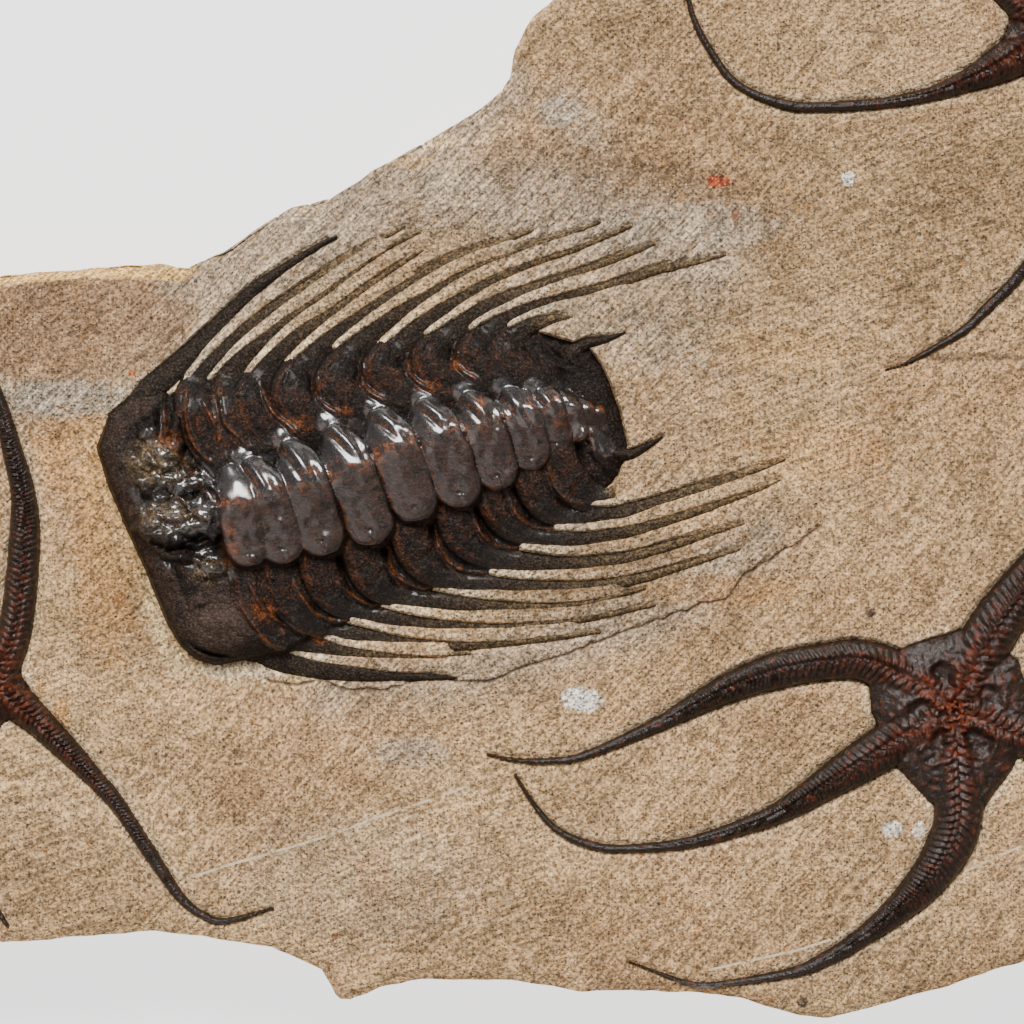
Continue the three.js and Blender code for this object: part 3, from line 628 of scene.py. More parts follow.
def fins():
    """The line and runs of each fin of matrix."""
    lines = []
    upper = [smooth_line(points)[0] for points in [HEAD_SPINES[0]] + UPPER_RIBS]
    lower = [smooth_line(points)[0] for points in [HEAD_SPINES[1]] + LOWER_RIBS]
    for tips, spines in ((UPPER_FIN_TIPS, upper), (LOWER_FIN_TIPS, lower)):
        for i, tip in enumerate(tips):
            lines.append(fin_line(tip, spines[i], spines[i + 1]))
    return lines


def arm_near(sheet, arm, reach):
    line, marks = smooth_line(arm)
    near = Near(sheet, line, marks, reach)
    half = np.interp(near.mark, range(len(arm)), [point[2] * GRID_STEP for point in arm])
    return near, half


def matrix_relief(sheet, slab, shell):
    """The slab's face with its fossils' beds, and its masks."""
    face = face_height(sheet, slab)
    rough = sheet.bumps(11, 1) * 0.3 + sheet.bumps(4.2, 2) * 0.12
    rough += sheet.bumps(1.7, 3) * 0.05
    height = face + rough
    # The rim mask: pale fresh matrix on the fins' crests and the grooves' lips, with painted highlight on the
    # lips that face the lamp.
    rim = np.zeros(sheet.shape)
    cut = np.zeros(sheet.shape)

    for line, marks, root, slim in spine_lines():
        near = Near(sheet, line, marks, 4.5)
        out = spine_out(near, line, marks, root)
        half = spine_half_width(out, shell) * slim
        depth = slab.groove_depth / MM * (1 - 0.62 * out)
        wall = 0.3 + 0.7 * out
        groove = depth * (1 - ease(near.far, half - 0.15, half + wall))
        started = ease(near.mark, root - 1.2, root - 0.4)
        lift(cut, near, groove * started)
        # A pale lip of fresh matrix along the groove, made stronger on the side towards the lamp: partly
        # painted highlight.
        lip_and_highlight = hump(near.far, half + wall * 0.8, 0.32) * np.where(near.above > 0, 1.0, 0.3) * started
        lift(rim, near, lip_and_highlight * (1 - 0.7 * out))
    body = inside_depth(sheet, BODY_EDGE, 4)
    head = inside_depth(sheet, HEAD_EDGE, 4)
    tail = inside_depth(sheet, TAIL_EDGE, 4)
    whole = np.maximum(np.maximum(body, head), tail)
    cut = np.maximum(cut, 3.6 * ease(whole, -0.35, 0.45))
    height = height - cut

    for middle, runs in fins():
        near = Near(sheet, middle, runs, 3.5)
        flat = 0.36 + np.minimum(0.036 * near.run, 0.8) + 0.1 * rough[near.part]
        rise = slab.fin_rise / MM * (1 - ease(near.run, 0, 40)) + rough[near.part]
        rise -= 2 * ease(near.run, near.length - 6, near.length - 0.5)
        top = face[near.part] + rise - 2.4 * np.maximum(0, near.far - flat)
        lift(height, near, top)
        crest = (1 - ease(near.far, flat, flat + 0.5)) * (1 - ease(near.run, 3, 16))
        lift(rim, near, crest)

    for star in STARS.values():
        disc = inside_depth(sheet, star["edge"], 5)
        height -= 1.5 * ease(disc, -0.5, 0.4)
        rim = np.maximum(rim, 0.8 * hump(disc, -0.8, 0.5))
        for arm in star["arms"]:
            near, half = arm_near(sheet, arm, 8)
            groove = (0.5 + 0.2 * half) * (1 - ease(near.far, half - 0.1, half + 0.7 + 0.1 * half))
            height[near.part] -= groove
            # A pale lip along each arm's groove, stronger on the side towards the lamp: partly painted
            # highlight.
            lip_and_highlight = hump(near.far, half + 0.6, 0.45) * np.where(near.above > 0, 0.9, 0.4)
            lift(rim, near, lip_and_highlight * ease(half, 0.2, 1.4))

    crack_line, crack_marks = smooth_line(CRACK)
    jagged = crack_line + np.column_stack([np.zeros(len(crack_line)),
                                           lattice_noise(crack_line[:, 0], crack_line[:, 1], 1.6, 8) * 0.5])
    near = Near(sheet, jagged, crack_marks, 2)
    crack = np.zeros(sheet.shape)
    crack[near.part] = 1 - ease(near.far, 0.1, 0.42)
    height -= 0.45 * crack

    bevel_noise = sheet.bumps(6, 4)
    bevel = line_reach(sheet, UPPER_BEVEL, 13)
    broken = line_reach(sheet, BROKEN_EDGE, 4.6)
    chipped = 3.4 * bevel ** 1.4 * (1 + 0.25 * bevel_noise)
    ledges = 2.6 * broken + 0.5 * np.floor(3 * broken + 0.8 * bevel_noise) * broken
    height -= np.maximum(chipped, ledges)
    edge = inside_depth(sheet, SLAB_EDGE, 6)
    height -= 1.3 * (1 - ease(edge, -0.5, 2.2)) * (1 + 0.6 * sheet.bumps(3, 5))

    left_part = ease(at([(200, 0)])[0][0] - sheet.x, 0, 4)
    coarse = left_part * ease(sheet.y - at([(0, 378)])[0][1], -1.5, 1.5)
    pale = ease(at([(135, 0)])[0][0] - sheet.x, -3, 3)
    pale = pale * hump(sheet.y, at([(0, 398)])[0][1], 4.5)
    grey = pale
    for points, reach, share in GREY_LINES:
        grey = np.maximum(grey, line_reach(sheet, points, reach) * share)
    deep = np.zeros(sheet.shape)
    for middle, radii, share in DARK_ZONES:
        deep = np.maximum(deep, share * ease(1.6 - ellipse(sheet, middle, radii)))
    masks = {"rim": rim, "grey": grey, "deep": deep, "coarse": coarse, "crack": crack, "bevel": bevel,
             "broken": broken, "moat": line_reach(sheet, HEAD_LINE, 9)}
    return height, masks


def trilobite_relief(sheet, slab, shell):
    """The trilobite's shell and its masks."""
    face = slab.face_height / MM
    ground = face_height(sheet, slab)
    height = np.full(sheet.shape, NO_SHELL)
    rust, lobe, spine, olive_and_sheen, seam, gloss, film = np.zeros((7, *sheet.shape))
    rough = sheet.bumps(2.4, 11) * 0.22 + sheet.bumps(1.0, 12) * 0.12

    body = inside_depth(sheet, BODY_EDGE, 5)
    axis_base = face + 5.2 * line_reach(sheet, [points[0] for points in UPPER_RIBS], 9) ** 0.5
    height = np.where(body > 2, axis_base, height)
    height = np.maximum(height, face + 0.6 + 0.9 * ease(body, -0.2, 4) - 3 * np.maximum(0, -body))

    head = inside_depth(sheet, HEAD_EDGE, 14)
    dome = face + 0.2 + 4.9 * (1 - np.exp(-np.maximum(head, 0) / 4.2)) - 3.2 * np.maximum(0, -head)
    outer = line_reach(sheet, HEAD_EDGE[1:11], 7)
    margin = np.exp(-((head - 5.2) / 0.8) ** 2) * ease(outer, 0.02, 0.2)
    dome -= 0.3 * margin
    height = np.maximum(height, dome)
    warp = 0.3 * sheet.bumps(2.6, 41) + 0.16 * sheet.bumps(1.2, 42)
    for middle, radii, crest in HEAD_LOBES:
        q = np.maximum(0, ellipse(sheet, middle, radii) + warp)
        bump = face + crest - 1.5 * q ** 2 - 2.6 * np.maximum(0, q - 0.9) * min(radii) * GRID_STEP
        height = np.maximum(height, bump)
    lumpy = ease(1.6 - ellipse(sheet, (182, 500), (60, 80))) * ease(head, 1.5, 4)
    lumps = 0.4 * sheet.bumps(1.9, 43) + 0.2 * sheet.bumps(0.9, 44)
    height += lumpy * lumps + 0.3 * sheet.bumps(3.2, 46) * ease(head, 0.5, 3)
    for points in HEAD_RIDGES:
        near = Near(sheet, *smooth_line(points), 2.5)
        height[near.part] += 0.55 * hump(near.far, 0, 0.55) - 0.35 * hump(near.far, 1.25, 0.6)
    # The head's slot and the eye slit are cut down and marked for painted shade.
    for points, depth in ((HEAD_SLOT, 1.6), (EYE_SLIT, 1.0)):
        near = Near(sheet, *smooth_line(points), 2)
        taper = tapered(near)
        slot = hump(near.far, 0, 0.42) * taper
        height[near.part] -= depth * slot
        lift(seam, near, slot)
    # Olive thin shell on the head's bumps, partly a painted highlight.
    olive_and_sheen = np.maximum(olive_and_sheen, ease(1.5 - ellipse(sheet, (158, 462), (30, 22))) * ease(head, 3, 6))
    olive_and_sheen = np.maximum(olive_and_sheen, 0.6 * ease(1.4 - ellipse(sheet, (172, 515), (34, 16))))
    olive_and_sheen = np.maximum(olive_and_sheen, 0.5 * ease(1.5 - ellipse(sheet, (212, 572), (18, 12))))
    cheek = ease(1.3 - ellipse(sheet, (218, 620), (42, 36))) * ease(head, 0, 3)
    brown_rim = ease(head, 0.1, 1.2) * (1 - ease(head, 4.2, 5.4)) * ease(outer, 0.02, 0.2)

    tail = inside_depth(sheet, TAIL_EDGE, 12)
    plate = face + 0.3 + 3.4 * (1 - np.exp(-np.maximum(tail, 0) / 3.4)) - 3.2 * np.maximum(0, -tail)
    height = np.maximum(height, plate)
    for points in TAIL_RIDGES:
        near = Near(sheet, *smooth_line(points), 2.5)
        taper = tapered(near, 0.5)
        height[near.part] += taper * (0.5 * hump(near.far, 0, 0.5) - 0.35 * hump(near.far, 1.2, 0.5))

    for upper, ribs in ((True, UPPER_RIBS), (False, LOWER_RIBS)):
        for points in ribs:
            line, marks = smooth_line(points)
            near = Near(sheet, line, marks, 6.5)
            out = spine_out(near, line, marks, 4)
            on_rib = 1 - ease(near.mark, 2.2, 4.3)
            half = spine_half_width(out, shell)
            half = half + (shell.rib_half_width / MM - half) * on_rib
            front = near.left if upper else -near.left
            q = near.far / half
            v = front / half
            tip_crest = ground[near.part] - face - 0.1 - 0.1 * out
            rib_crest = np.interp(near.mark, range(5), RIB_CRESTS)
            crest = rib_crest + (tip_crest - rib_crest) * ease(near.mark, 2.6, 4.4)
            drop = 0.75 + 0.25 * on_rib
            rib = face + crest - drop * q ** 2 * np.minimum(1, half)
            rib -= 3.4 * np.maximum(0, near.far - half)
            fine = ease(near.mark, 0.2, 0.9) * on_rib
            front_edge = 0.16 * hump(v, 0.66, 0.12) - 0.2 * hump(v, 0.42, 0.14)
            rib += fine * (front_edge - 0.12 * hump(v, -0.55, 0.12))
            higher = rib > height[near.part]
            lift(height, near, rib)
            put(spine, near, higher, ease(near.mark, 3.2, 4.6))
            put(film, near, higher, ease(out, 0.0, 0.9))
            put(rust, near, higher, 0.3 * fine * hump(v, 0.66, 0.14) + 0.12 * fine * (near.mark < 2.4))
            lift(seam, near, higher * fine * hump(v, 0.42, 0.12) * 0.4)
            bend = hump(near.mark, 3.4, 0.8) * (0.06 if upper else 0.4)
            gloss[near.part] = np.where(higher, bend, gloss[near.part])

    for points in UPPER_RIDGES + LOWER_RIDGES:
        near = Near(sheet, *smooth_line(points), 2.2)
        taper = tapered(near, 0.5, 0.03)
        height[near.part] += taper * (0.62 * hump(near.far, 0, 0.36) - 0.35 * hump(near.left, -0.9, 0.45))
        lift(rust, near, taper * hump(near.far, 0, 0.38))
        lift(gloss, near, 0.4 * taper * hump(near.far, 0, 0.7))

    for points, root, root_crest, slim in ((HEAD_SPINES[0], 3, 1.6, 1), (HEAD_SPINES[1], 3, 1.2, 1),
                                           (TAIL_SPINES[0], 1, 0.4, 0.55), (TAIL_SPINES[1], 1, 0.4, 0.4)):
        line, marks = smooth_line(points)
        near = Near(sheet, line, marks, 5)
        out = spine_out(near, line, marks, root)
        half = spine_half_width(out, shell) * slim
        crest = ground[near.part] - 0.05 + root_crest * (1 - ease(near.mark, 0, root + 1.0))
        ridge = crest - 0.75 * (near.far / half) ** 2 * np.minimum(1, half)
        ridge -= 3.4 * np.maximum(0, near.far - half)
        higher = ridge > height[near.part]
        lift(height, near, ridge)
        put(spine, near, higher, np.ones(ridge.shape))

    for number, (first, last, width) in enumerate(axial_rings()):
        first = np.array(first, float)
        last = np.array(last, float)
        middle = (first + last) / 2 + (4, 0)
        near = Near(sheet, *smooth_line([tuple(first), tuple(middle), tuple(last)]), 8)
        share = np.clip(near.run / near.length, 0, 1)
        small = 1 - 0.06 * max(0, number - 5)
        own_noise = sheet.bumps(3, 14, near.part)
        half = width * (1 + 0.07 * own_noise) * (0.6 + 0.4 * ease(share, 0.02, 0.4))
        v = -near.left / half
        full = shell.axis_crest / MM - 0.75 * max(0, number - 5)
        start = 5.0 * small
        finish = 7.7 * small - 0.4 * max(0, number - 6)
        rise = full - (full - start) * (1 - np.clip(share / 0.46, 0, 1)) ** 1.3
        fall = full + (finish - full) * ease(share, 0.46, 1.05)
        crest = face + np.where(share < 0.46, rise, fall)
        lower_half = ease(share, 0.4, 0.6)
        ring = crest - (1.7 - 0.9 * lower_half) * np.abs(v) ** (2.0 + 2.2 * lower_half) - 0.25 * v
        dents = sheet.bumps(1.5, 16, near.part)
        ring += (0.26 * own_noise + 0.14 * dents) * lower_half
        ring -= 2.6 * np.maximum(0, near.far - half) + 1.2 * np.maximum(0, 0.06 - share) / 0.06
        higher = ring > height[near.part]
        height[near.part] = np.where(higher, ring, height[near.part])
        patch = ease(sheet.bumps(1.6, 15, near.part), -0.5, 0.3)
        stain = hump(share, 0.46, 0.09) * patch + 0.9 * hump(v, 0.95, 0.14) * lower_half
        for own, value in ((lobe, lower_half), (rust, stain), (spine, 0 * share),
                           (gloss, 1 - 0.55 * lower_half), (seam, hump(np.abs(v), 1.0, 0.07))):
            put(own, near, higher, value)
        if number >= len(UPPER_RIBS):
            continue
        radius = (4.7 if number else 4.2) * small
        q = np.hypot(sheet.x - at([last])[0][0], sheet.y - at([last])[0][1]) / radius
        top = face + finish - 0.1 - 0.8 * q ** 4 - 3.2 * np.maximum(0, q - 1) * radius
        lower_side = ease(at([last])[0][1] - sheet.y, -0.5, 2)
        top = top + 0.16 * hump(q, 0.9, 0.07) * lower_side
        higher = top > height
        height = np.maximum(height, top)
        for own, value in ((lobe, 1 - 0.3 * ease(q, 0.85, 1)), (rust, 0.5 * hump(q, 0.98, 0.1)),
                           (spine, 0 * q), (gloss, 0.45 + 0 * q), (seam, hump(q, 1.05, 0.06))):
            own[higher] = value[higher]
        # A dent under each lobe, marked for painted shade.
        notch_x, notch_y = at([last])[0] + np.array([0.5, -1.7])
        notch = np.exp(-(((sheet.x - notch_x) / 0.8) ** 2 + ((sheet.y - notch_y) / 0.3) ** 2))
        height -= 0.3 * notch
        seam = np.maximum(seam, 0.85 * notch)

    for points in RING_STREAKS:
        near = Near(sheet, *smooth_line(points), 2.6)
        taper = tapered(near, 0.6)
        height[near.part] += taper * (0.6 * hump(near.far, 0, 1.1) - 0.35 * hump(near.left, -1.9, 0.6))
        lift(gloss, near, 1 - ease(near.far, 1.4, 2.4))
        lift(rust, near, 0.7 * taper * hump(near.left, -1.5, 0.4))
    for middle, radii in RUST_SPOTS:
        spot = ease(1.4 - ellipse(sheet, middle, radii))
        rust = np.maximum(rust, spot)
    height = height + rough * (1 - 0.6 * lobe) * (1 - 0.4 * spine) * (1 - 0.6 * gloss)
    height = np.minimum(height, face + 8.95)
    wet = ease(sheet.bumps(2.2, 45), -0.5, 0.5)
    gloss = np.maximum(gloss, 0.8 * ease(1.5 - ellipse(sheet, (180, 500), (60, 60))) * ease(head, 2, 5) * wet)
    masks = {"rust": rust, "lobe": lobe, "spine": spine, "olive_and_sheen": olive_and_sheen, "seam": seam, "gloss": gloss,
             "film": film, "cheek": np.maximum(cheek, 0.4 * brown_rim)}
    return height, masks


def axial_rings():
    """The upper end, lower end and half width of each ring of the axis, the last ones on the tail."""
    rings = [(upper[0], lower[0], width) for upper, lower, width in zip(UPPER_RIBS, LOWER_RIBS, RING_WIDTHS)]
    return rings + TAIL_RINGS


def star_relief(sheet, star, slab, sizes):
    """A brittle star's plates and its masks."""
    ground = face_height(sheet, slab)
    height = np.full(sheet.shape, NO_SHELL)
    middle = at([star["middle"]])[0]
    dx = sheet.x - middle[0]
    dy = sheet.y - middle[1]
    radius = np.hypot(dx, dy)
    disc = inside_depth(sheet, star["edge"], 9)
    crest = sizes.disc_crest / MM
    plate_rise = sizes.plate_rise / MM
    dome = ground - 0.3 + crest * (1 - np.exp(-np.maximum(disc, 0) / 3.0)) - 3 * np.maximum(0, -disc)
    dome += 0.28 * sheet.bumps(1.5, 21) + 0.2 * sheet.bumps(0.8, 22)
    height = np.maximum(height, dome)
    red = 0.7 * np.exp(-(radius / 9) ** 2)
    for arm in star["arms"]:
        near, half = arm_near(sheet, arm, 8)
        base = ground[near.part] - 0.6
        crest_here = ground[near.part] + 0.35 + 0.5 * half
        q = np.clip(near.far / half, 0, 1)
        round_top = base + (crest_here - base) * np.sqrt(1 - q ** 2)
        pitch = 0.55 + 0.26 * half
        beat = near.run / pitch + 0.5 * (near.left > 0) - 0.9 * q * half / pitch * 0.5
        share = beat - np.floor(beat)
        plates = plate_rise * np.minimum(1, half / 2.2) * (np.minimum(share / 0.65, (1 - share) / 0.35) - 0.5)
        groove = 0.45 * np.minimum(1, half / 2.5) * hump(near.left / half, -0.15, 0.1)
        arm_top = round_top + plates * (1 - q ** 3) - groove
        arm_top -= 3 * np.maximum(0, near.far - half)
        lift(height, near, arm_top)
        root = np.exp(-near.run / 14) * hump(near.left / half, 0, 0.5)
        lift(red, near, 0.8 * root)
    rows_done = np.zeros(sheet.shape)
    ways = []
    for arm in star["arms"]:
        inner = [(*star["middle"], arm[0][2] * 0.6)] + arm[:5]
        near, half = arm_near(sheet, inner, 7)
        v = near.left / half
        fade = np.exp(-near.run / 16) * (near.run < near.length - 0.3)
        row = hump(np.abs(v), 0.36, 0.17)
        bead = 0.45 + 0.55 * np.cos(2 * math.pi * near.run / 1.35 + 1.2 * np.sign(v))
        own = fade * (0.75 * row * bead - 0.55 * hump(v, 0, 0.12) - 0.35 * hump(np.abs(v), 0.72, 0.12))
        stronger = np.abs(own) > np.abs(rows_done[near.part])
        rows_done[near.part] = np.where(stronger, own, rows_done[near.part])
        lift(red, near, fade * row)
        first = at([arm[1]])[0] - middle
        ways.append(math.atan2(first[1], first[0]))
    height += rows_done
    ways.sort()
    pits = np.zeros(sheet.shape)
    for way, after in zip(ways, ways[1:] + [ways[0] + 2 * math.pi]):
        between = (way + after) / 2
        out = dx * math.cos(between) + dy * math.sin(between) - 0.5 * sizes.disc_radius / MM
        aside = dy * math.cos(between) - dx * math.sin(between)
        q = np.hypot(out / 3.4, aside / 2.4) + 0.25 * sheet.bumps(1.8, 23)
        height -= 0.9 * ease(1.15 - q, 0, 0.7) * (disc > 0) - 0.35 * hump(q, 1.2, 0.2) * (disc > 0.6)
        pits = np.maximum(pits, ease(1.2 - q, 0, 0.5))
    mouth = np.exp(-(radius / 1.6) ** 2)
    height -= 0.7 * mouth
    red = np.clip(red * (1 - 0.7 * pits), 0, 1)
    return height, {"red": red}


def deselect_everything():
    if bpy.context.object and bpy.context.object.mode != "OBJECT":
        bpy.ops.object.mode_set(mode="OBJECT")
    bpy.ops.object.select_all(action="DESELECT")


def triangle_count(mesh):
    return sum(len(polygon.vertices) - 2 for polygon in mesh.polygons)


def add_grid(name, sheet, height):
    """A grid whose places are the sheet's, at the relief's height."""
    deselect_everything()
    rows, cols = sheet.shape
    bpy.ops.mesh.primitive_grid_add(x_subdivisions=cols - 1, y_subdivisions=rows - 1, size=1)
    piece = bpy.context.object
    piece.name = name
    piece.data.name = name
    mesh = piece.data
    count = len(mesh.vertices)
    if count != rows * cols:
        raise RuntimeError(f"{name}: the grid has {count} corners, not {rows * cols}")
    places = np.empty(count * 3)
    mesh.vertices.foreach_get("co", places)
    places = places.reshape(-1, 3)
    order = np.lexsort((np.round(places[:, 0] * cols * 4), np.round(places[:, 1] * rows * 4)))
    new = np.empty((count, 3))
    new[order, 0] = sheet.x.ravel() * MM
    new[order, 1] = sheet.y.ravel() * MM
    new[order, 2] = height.ravel() * MM
    mesh.vertices.foreach_set("co", new.ravel())
    mesh.update()
    return piece


def corner_places(mesh):
    places = np.empty(len(mesh.vertices) * 3)
    mesh.vertices.foreach_get("co", places)
    return places.reshape(-1, 3)


def kept_cells(keep):
    """The cells with three kept corners or more, with none that touch by a corner alone."""
    count = keep[:-1, :-1].astype(int) + keep[1:, :-1] + keep[:-1, 1:] + keep[1:, 1:]
    cells = count >= 3
    for turn in range(12):
        corners = [cells[:-1, :-1], cells[1:, 1:], cells[1:, :-1], cells[:-1, 1:]]
        a, b, c, d = corners
        touching = (a & b & ~c & ~d) | (c & d & ~a & ~b)
        if not touching.any():
            break
        for corner in corners:
            corner |= touching
    return cells


def keep_faces(piece, sheet, keep):
    """Deletes the grid's faces where the sheet isn't kept."""
    mesh = piece.data
    centres = np.empty(len(mesh.polygons) * 3)
    mesh.polygons.foreach_get("center", centres)
    centres = centres.reshape(-1, 3) / MM
    cells = kept_cells(keep)
    col = np.clip(np.searchsorted(sheet.across, centres[:, 0]) - 1, 0, cells.shape[1] - 1)
    row = np.clip(np.searchsorted(sheet.up, centres[:, 1]) - 1, 0, cells.shape[0] - 1)
    kept = cells[row, col]
    mesh.vertices.foreach_set("select", np.zeros(len(mesh.vertices), bool))
    mesh.edges.foreach_set("select", np.zeros(len(mesh.edges), bool))
    mesh.polygons.foreach_set("select", ~kept)
    bpy.ops.object.mode_set(mode="EDIT")
    bpy.ops.mesh.select_mode(type="FACE")
    bpy.ops.mesh.delete(type="FACE")
    bpy.ops.object.mode_set(mode="OBJECT")


def select_rim(kind):
    """Goes into edit mode and selects the open rim by its corners or its edges."""
    bpy.ops.object.mode_set(mode="EDIT")
    bpy.ops.mesh.select_mode(type=kind)
    bpy.ops.mesh.select_all(action="DESELECT")
    bpy.ops.mesh.select_non_manifold(extend=False, use_wire=False, use_boundary=True, use_multi_face=False,
                                     use_non_contiguous=False, use_verts=False)


def extrude_rim():
    """Extrudes the open rim in place, and leaves the new rim selected."""
    select_rim("EDGE")
    bpy.ops.mesh.extrude_edges_move()
    bpy.ops.object.mode_set(mode="OBJECT")


def selected_corners(mesh):
    chosen = np.empty(len(mesh.vertices), bool)
    mesh.vertices.foreach_get("select", chosen)
    return chosen


def open_rim_length(mesh):
    """How many edges have a face on one side only."""
    keys = {}
    for polygon in mesh.polygons:
        for key in polygon.edge_keys:
            keys[key] = keys.get(key, 0) + 1
    return sum(1 for count in keys.values() if count == 1)


def close_underneath(piece):
    """Fills the slab's open rim with one flat face."""
    select_rim("EDGE")
    bpy.ops.mesh.edge_face_add()
    bpy.ops.object.mode_set(mode="OBJECT")
    face_outwards(piece)


def thicken_down(piece, underside):
    """Extrudes a whole relief down to a flat underside."""
    bpy.ops.object.mode_set(mode="EDIT")
    bpy.ops.mesh.select_mode(type="FACE")
    bpy.ops.mesh.select_all(action="SELECT")
    bpy.ops.mesh.extrude_region_move()
    bpy.ops.object.mode_set(mode="OBJECT")
    mesh = piece.data
    places = corner_places(mesh)
    places[selected_corners(mesh), 2] = underside * MM
    mesh.vertices.foreach_set("co", places.ravel())
    mesh.update()
    face_outwards(piece)


def face_outwards(piece):
    """Turns every face outwards, and stops if the piece isn't closed."""
    bpy.ops.object.mode_set(mode="EDIT")
    bpy.ops.mesh.select_all(action="SELECT")
    bpy.ops.mesh.normals_make_consistent(inside=False)
    bpy.ops.object.mode_set(mode="OBJECT")
    gaps = open_rim_length(piece.data)
    if gaps:
        raise RuntimeError(f"{piece.name} still has {gaps} open edges")


def thin_out(piece, most):
    """Brings a piece under a number of triangles, and smooths its shading."""
    count = triangle_count(piece.data)
    if count > most:
        thin = piece.modifiers.new("Fewer faces", "DECIMATE")
        thin.ratio = most / count
        bpy.ops.object.modifier_apply(modifier=thin.name)
    bpy.ops.object.shade_smooth_by_angle(angle=math.radians(50))


def store_values(mesh, name, values):
    """Keeps a value of each corner as an attribute."""
    layer = mesh.attributes.new(name, "FLOAT", "POINT")
    layer.data.foreach_set("value", values.astype(np.float32))


def stored_values(mesh, name):
    values = np.empty(len(mesh.vertices), np.float32)
    mesh.attributes[name].data.foreach_get("value", values)
    return values


def store_masks(piece, sheet, masks):
    """Keeps each mask of the relief as an attribute of the corners."""
    places = corner_places(piece.data) / MM
    for name, mask in masks.items():
        store_values(piece.data, name, sheet.read(mask, places[:, 0], places[:, 1]))


def finish_piece(piece, node, material):
    piece.data.materials.clear()
    piece.data.materials.append(material)
    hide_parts(node)
    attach(piece, "root")
    print(piece.name, "triangles", triangle_count(piece.data))


def spacing(low, high, fine_low, fine_high, fine, coarse):
    """Places from low to high, close together in the fine stretch and further apart outside it."""
    before = np.arange(fine_low, low, -coarse)[::-1]
    inner = np.arange(fine_low + fine, fine_high, fine)
    after = np.arange(fine_high, high + coarse, coarse)
    return np.concatenate([before, inner, after])


def fossil_sheet(node, step):
    low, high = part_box(node)
    return Sheet(np.arange(low[0] / MM - 1, high[0] / MM + 1, step),
                 np.arange(low[1] / MM - 1, high[1] / MM + 1, step))


def fossil_piece(name, node, sheet, fossil, matrix, masks, material, most):
    """A fossil's own mesh: its relief where it shows and a little under the matrix, closed underneath."""
    piece = add_grid(name, sheet, np.maximum(fossil, UNDERSIDE + 0.05))
    keep = fossil > np.maximum(matrix - 0.55, UNDERSIDE + 0.3)
    keep_faces(piece, sheet, keep)
    thicken_down(piece, UNDERSIDE)
    thin_out(piece, most)
    store_masks(piece, sheet, masks)
    finish_piece(piece, node, material)


def add_node(tree, kind, **settings):
    node = tree.nodes.new(kind)
    for name, value in settings.items():
        setattr(node, name, value)
    return node


def plug(tree, source, target):
    tree.links.new(source, target)


def feed(tree, socket, value):
    """Sets a socket to a value, or links it to another socket."""
    if isinstance(value, bpy.types.NodeSocket):
        tree.links.new(value, socket)
    elif hasattr(socket.default_value, "__len__") and len(socket.default_value) == 4:
        socket.default_value = (*value, 1)
    else:
        socket.default_value = value


def maths(tree, kind, first, second=0.0, third=0.0, clamp=False):
    node = add_node(tree, "ShaderNodeMath", operation=kind, use_clamp=clamp)
    for socket, value in zip(node.inputs, (first, second, third)):
        feed(tree, socket, value)
    return node.outputs[0]


def times(tree, first, second):
    return maths(tree, "MULTIPLY", first, second)


def plus(tree, first, second):
    return maths(tree, "ADD", first, second)


def mixed(tree, share, first, second, kind="MIX"):
    """A mix of two colours."""
    node = add_node(tree, "ShaderNodeMix", data_type="RGBA", blend_type=kind)
    feed(tree, node.inputs[0], share)
    feed(tree, node.inputs[6], first)
    feed(tree, node.inputs[7], second)
    return node.outputs[2]


def stepped(tree, value, low, high, to_low=0.0, to_high=1.0):
    """A value taken from one range to another, smooth and kept within it."""
    node = add_node(tree, "ShaderNodeMapRange", interpolation_type="SMOOTHSTEP")
    for socket, own in zip(node.inputs[:5], (value, low, high, to_low, to_high)):
        feed(tree, socket, own)
    return node.outputs[0]


def noise(tree, place, scale, detail=2.0, roughness=0.5, distortion=0.0):
    node = add_node(tree, "ShaderNodeTexNoise", noise_dimensions="3D")
    plug(tree, place, node.inputs["Vector"])
    node.inputs["Scale"].default_value = scale
    node.inputs["Detail"].default_value = detail
    node.inputs["Roughness"].default_value = roughness
    node.inputs["Distortion"].default_value = distortion
    return node.outputs["Fac"]


def strokes_along(tree, place, degrees, length, width, detail=2.0):
    """Noise drawn out into strokes of a length and a width in metres, at an angle to the across axis."""
    node = add_node(tree, "ShaderNodeMapping", vector_type="TEXTURE")
    plug(tree, place, node.inputs["Vector"])
    node.inputs["Rotation"].default_value = (0, 0, math.radians(degrees))
    node.inputs["Scale"].default_value = (length, width, length)
    return noise(tree, node.outputs["Vector"], 1.0, detail, 0.6, 0.35)


def masks_of(tree, *names):
    """The piece's masks of these names."""
    nodes = [add_node(tree, "ShaderNodeAttribute", attribute_name=name, attribute_type="GEOMETRY")
             for name in names]
    return [node.outputs["Fac"] for node in nodes]


def new_group(name, inputs, outputs):
    group = bpy.data.node_groups.new(name, "ShaderNodeTree")
    for label, kind, value in inputs:
        socket = group.interface.new_socket(name=label, in_out="INPUT", socket_type=kind)
        if value is not None:
            socket.default_value = value
    for label, kind in outputs:
        group.interface.new_socket(name=label, in_out="OUTPUT", socket_type=kind)
    return group, add_node(group, "NodeGroupInput"), add_node(group, "NodeGroupOutput")


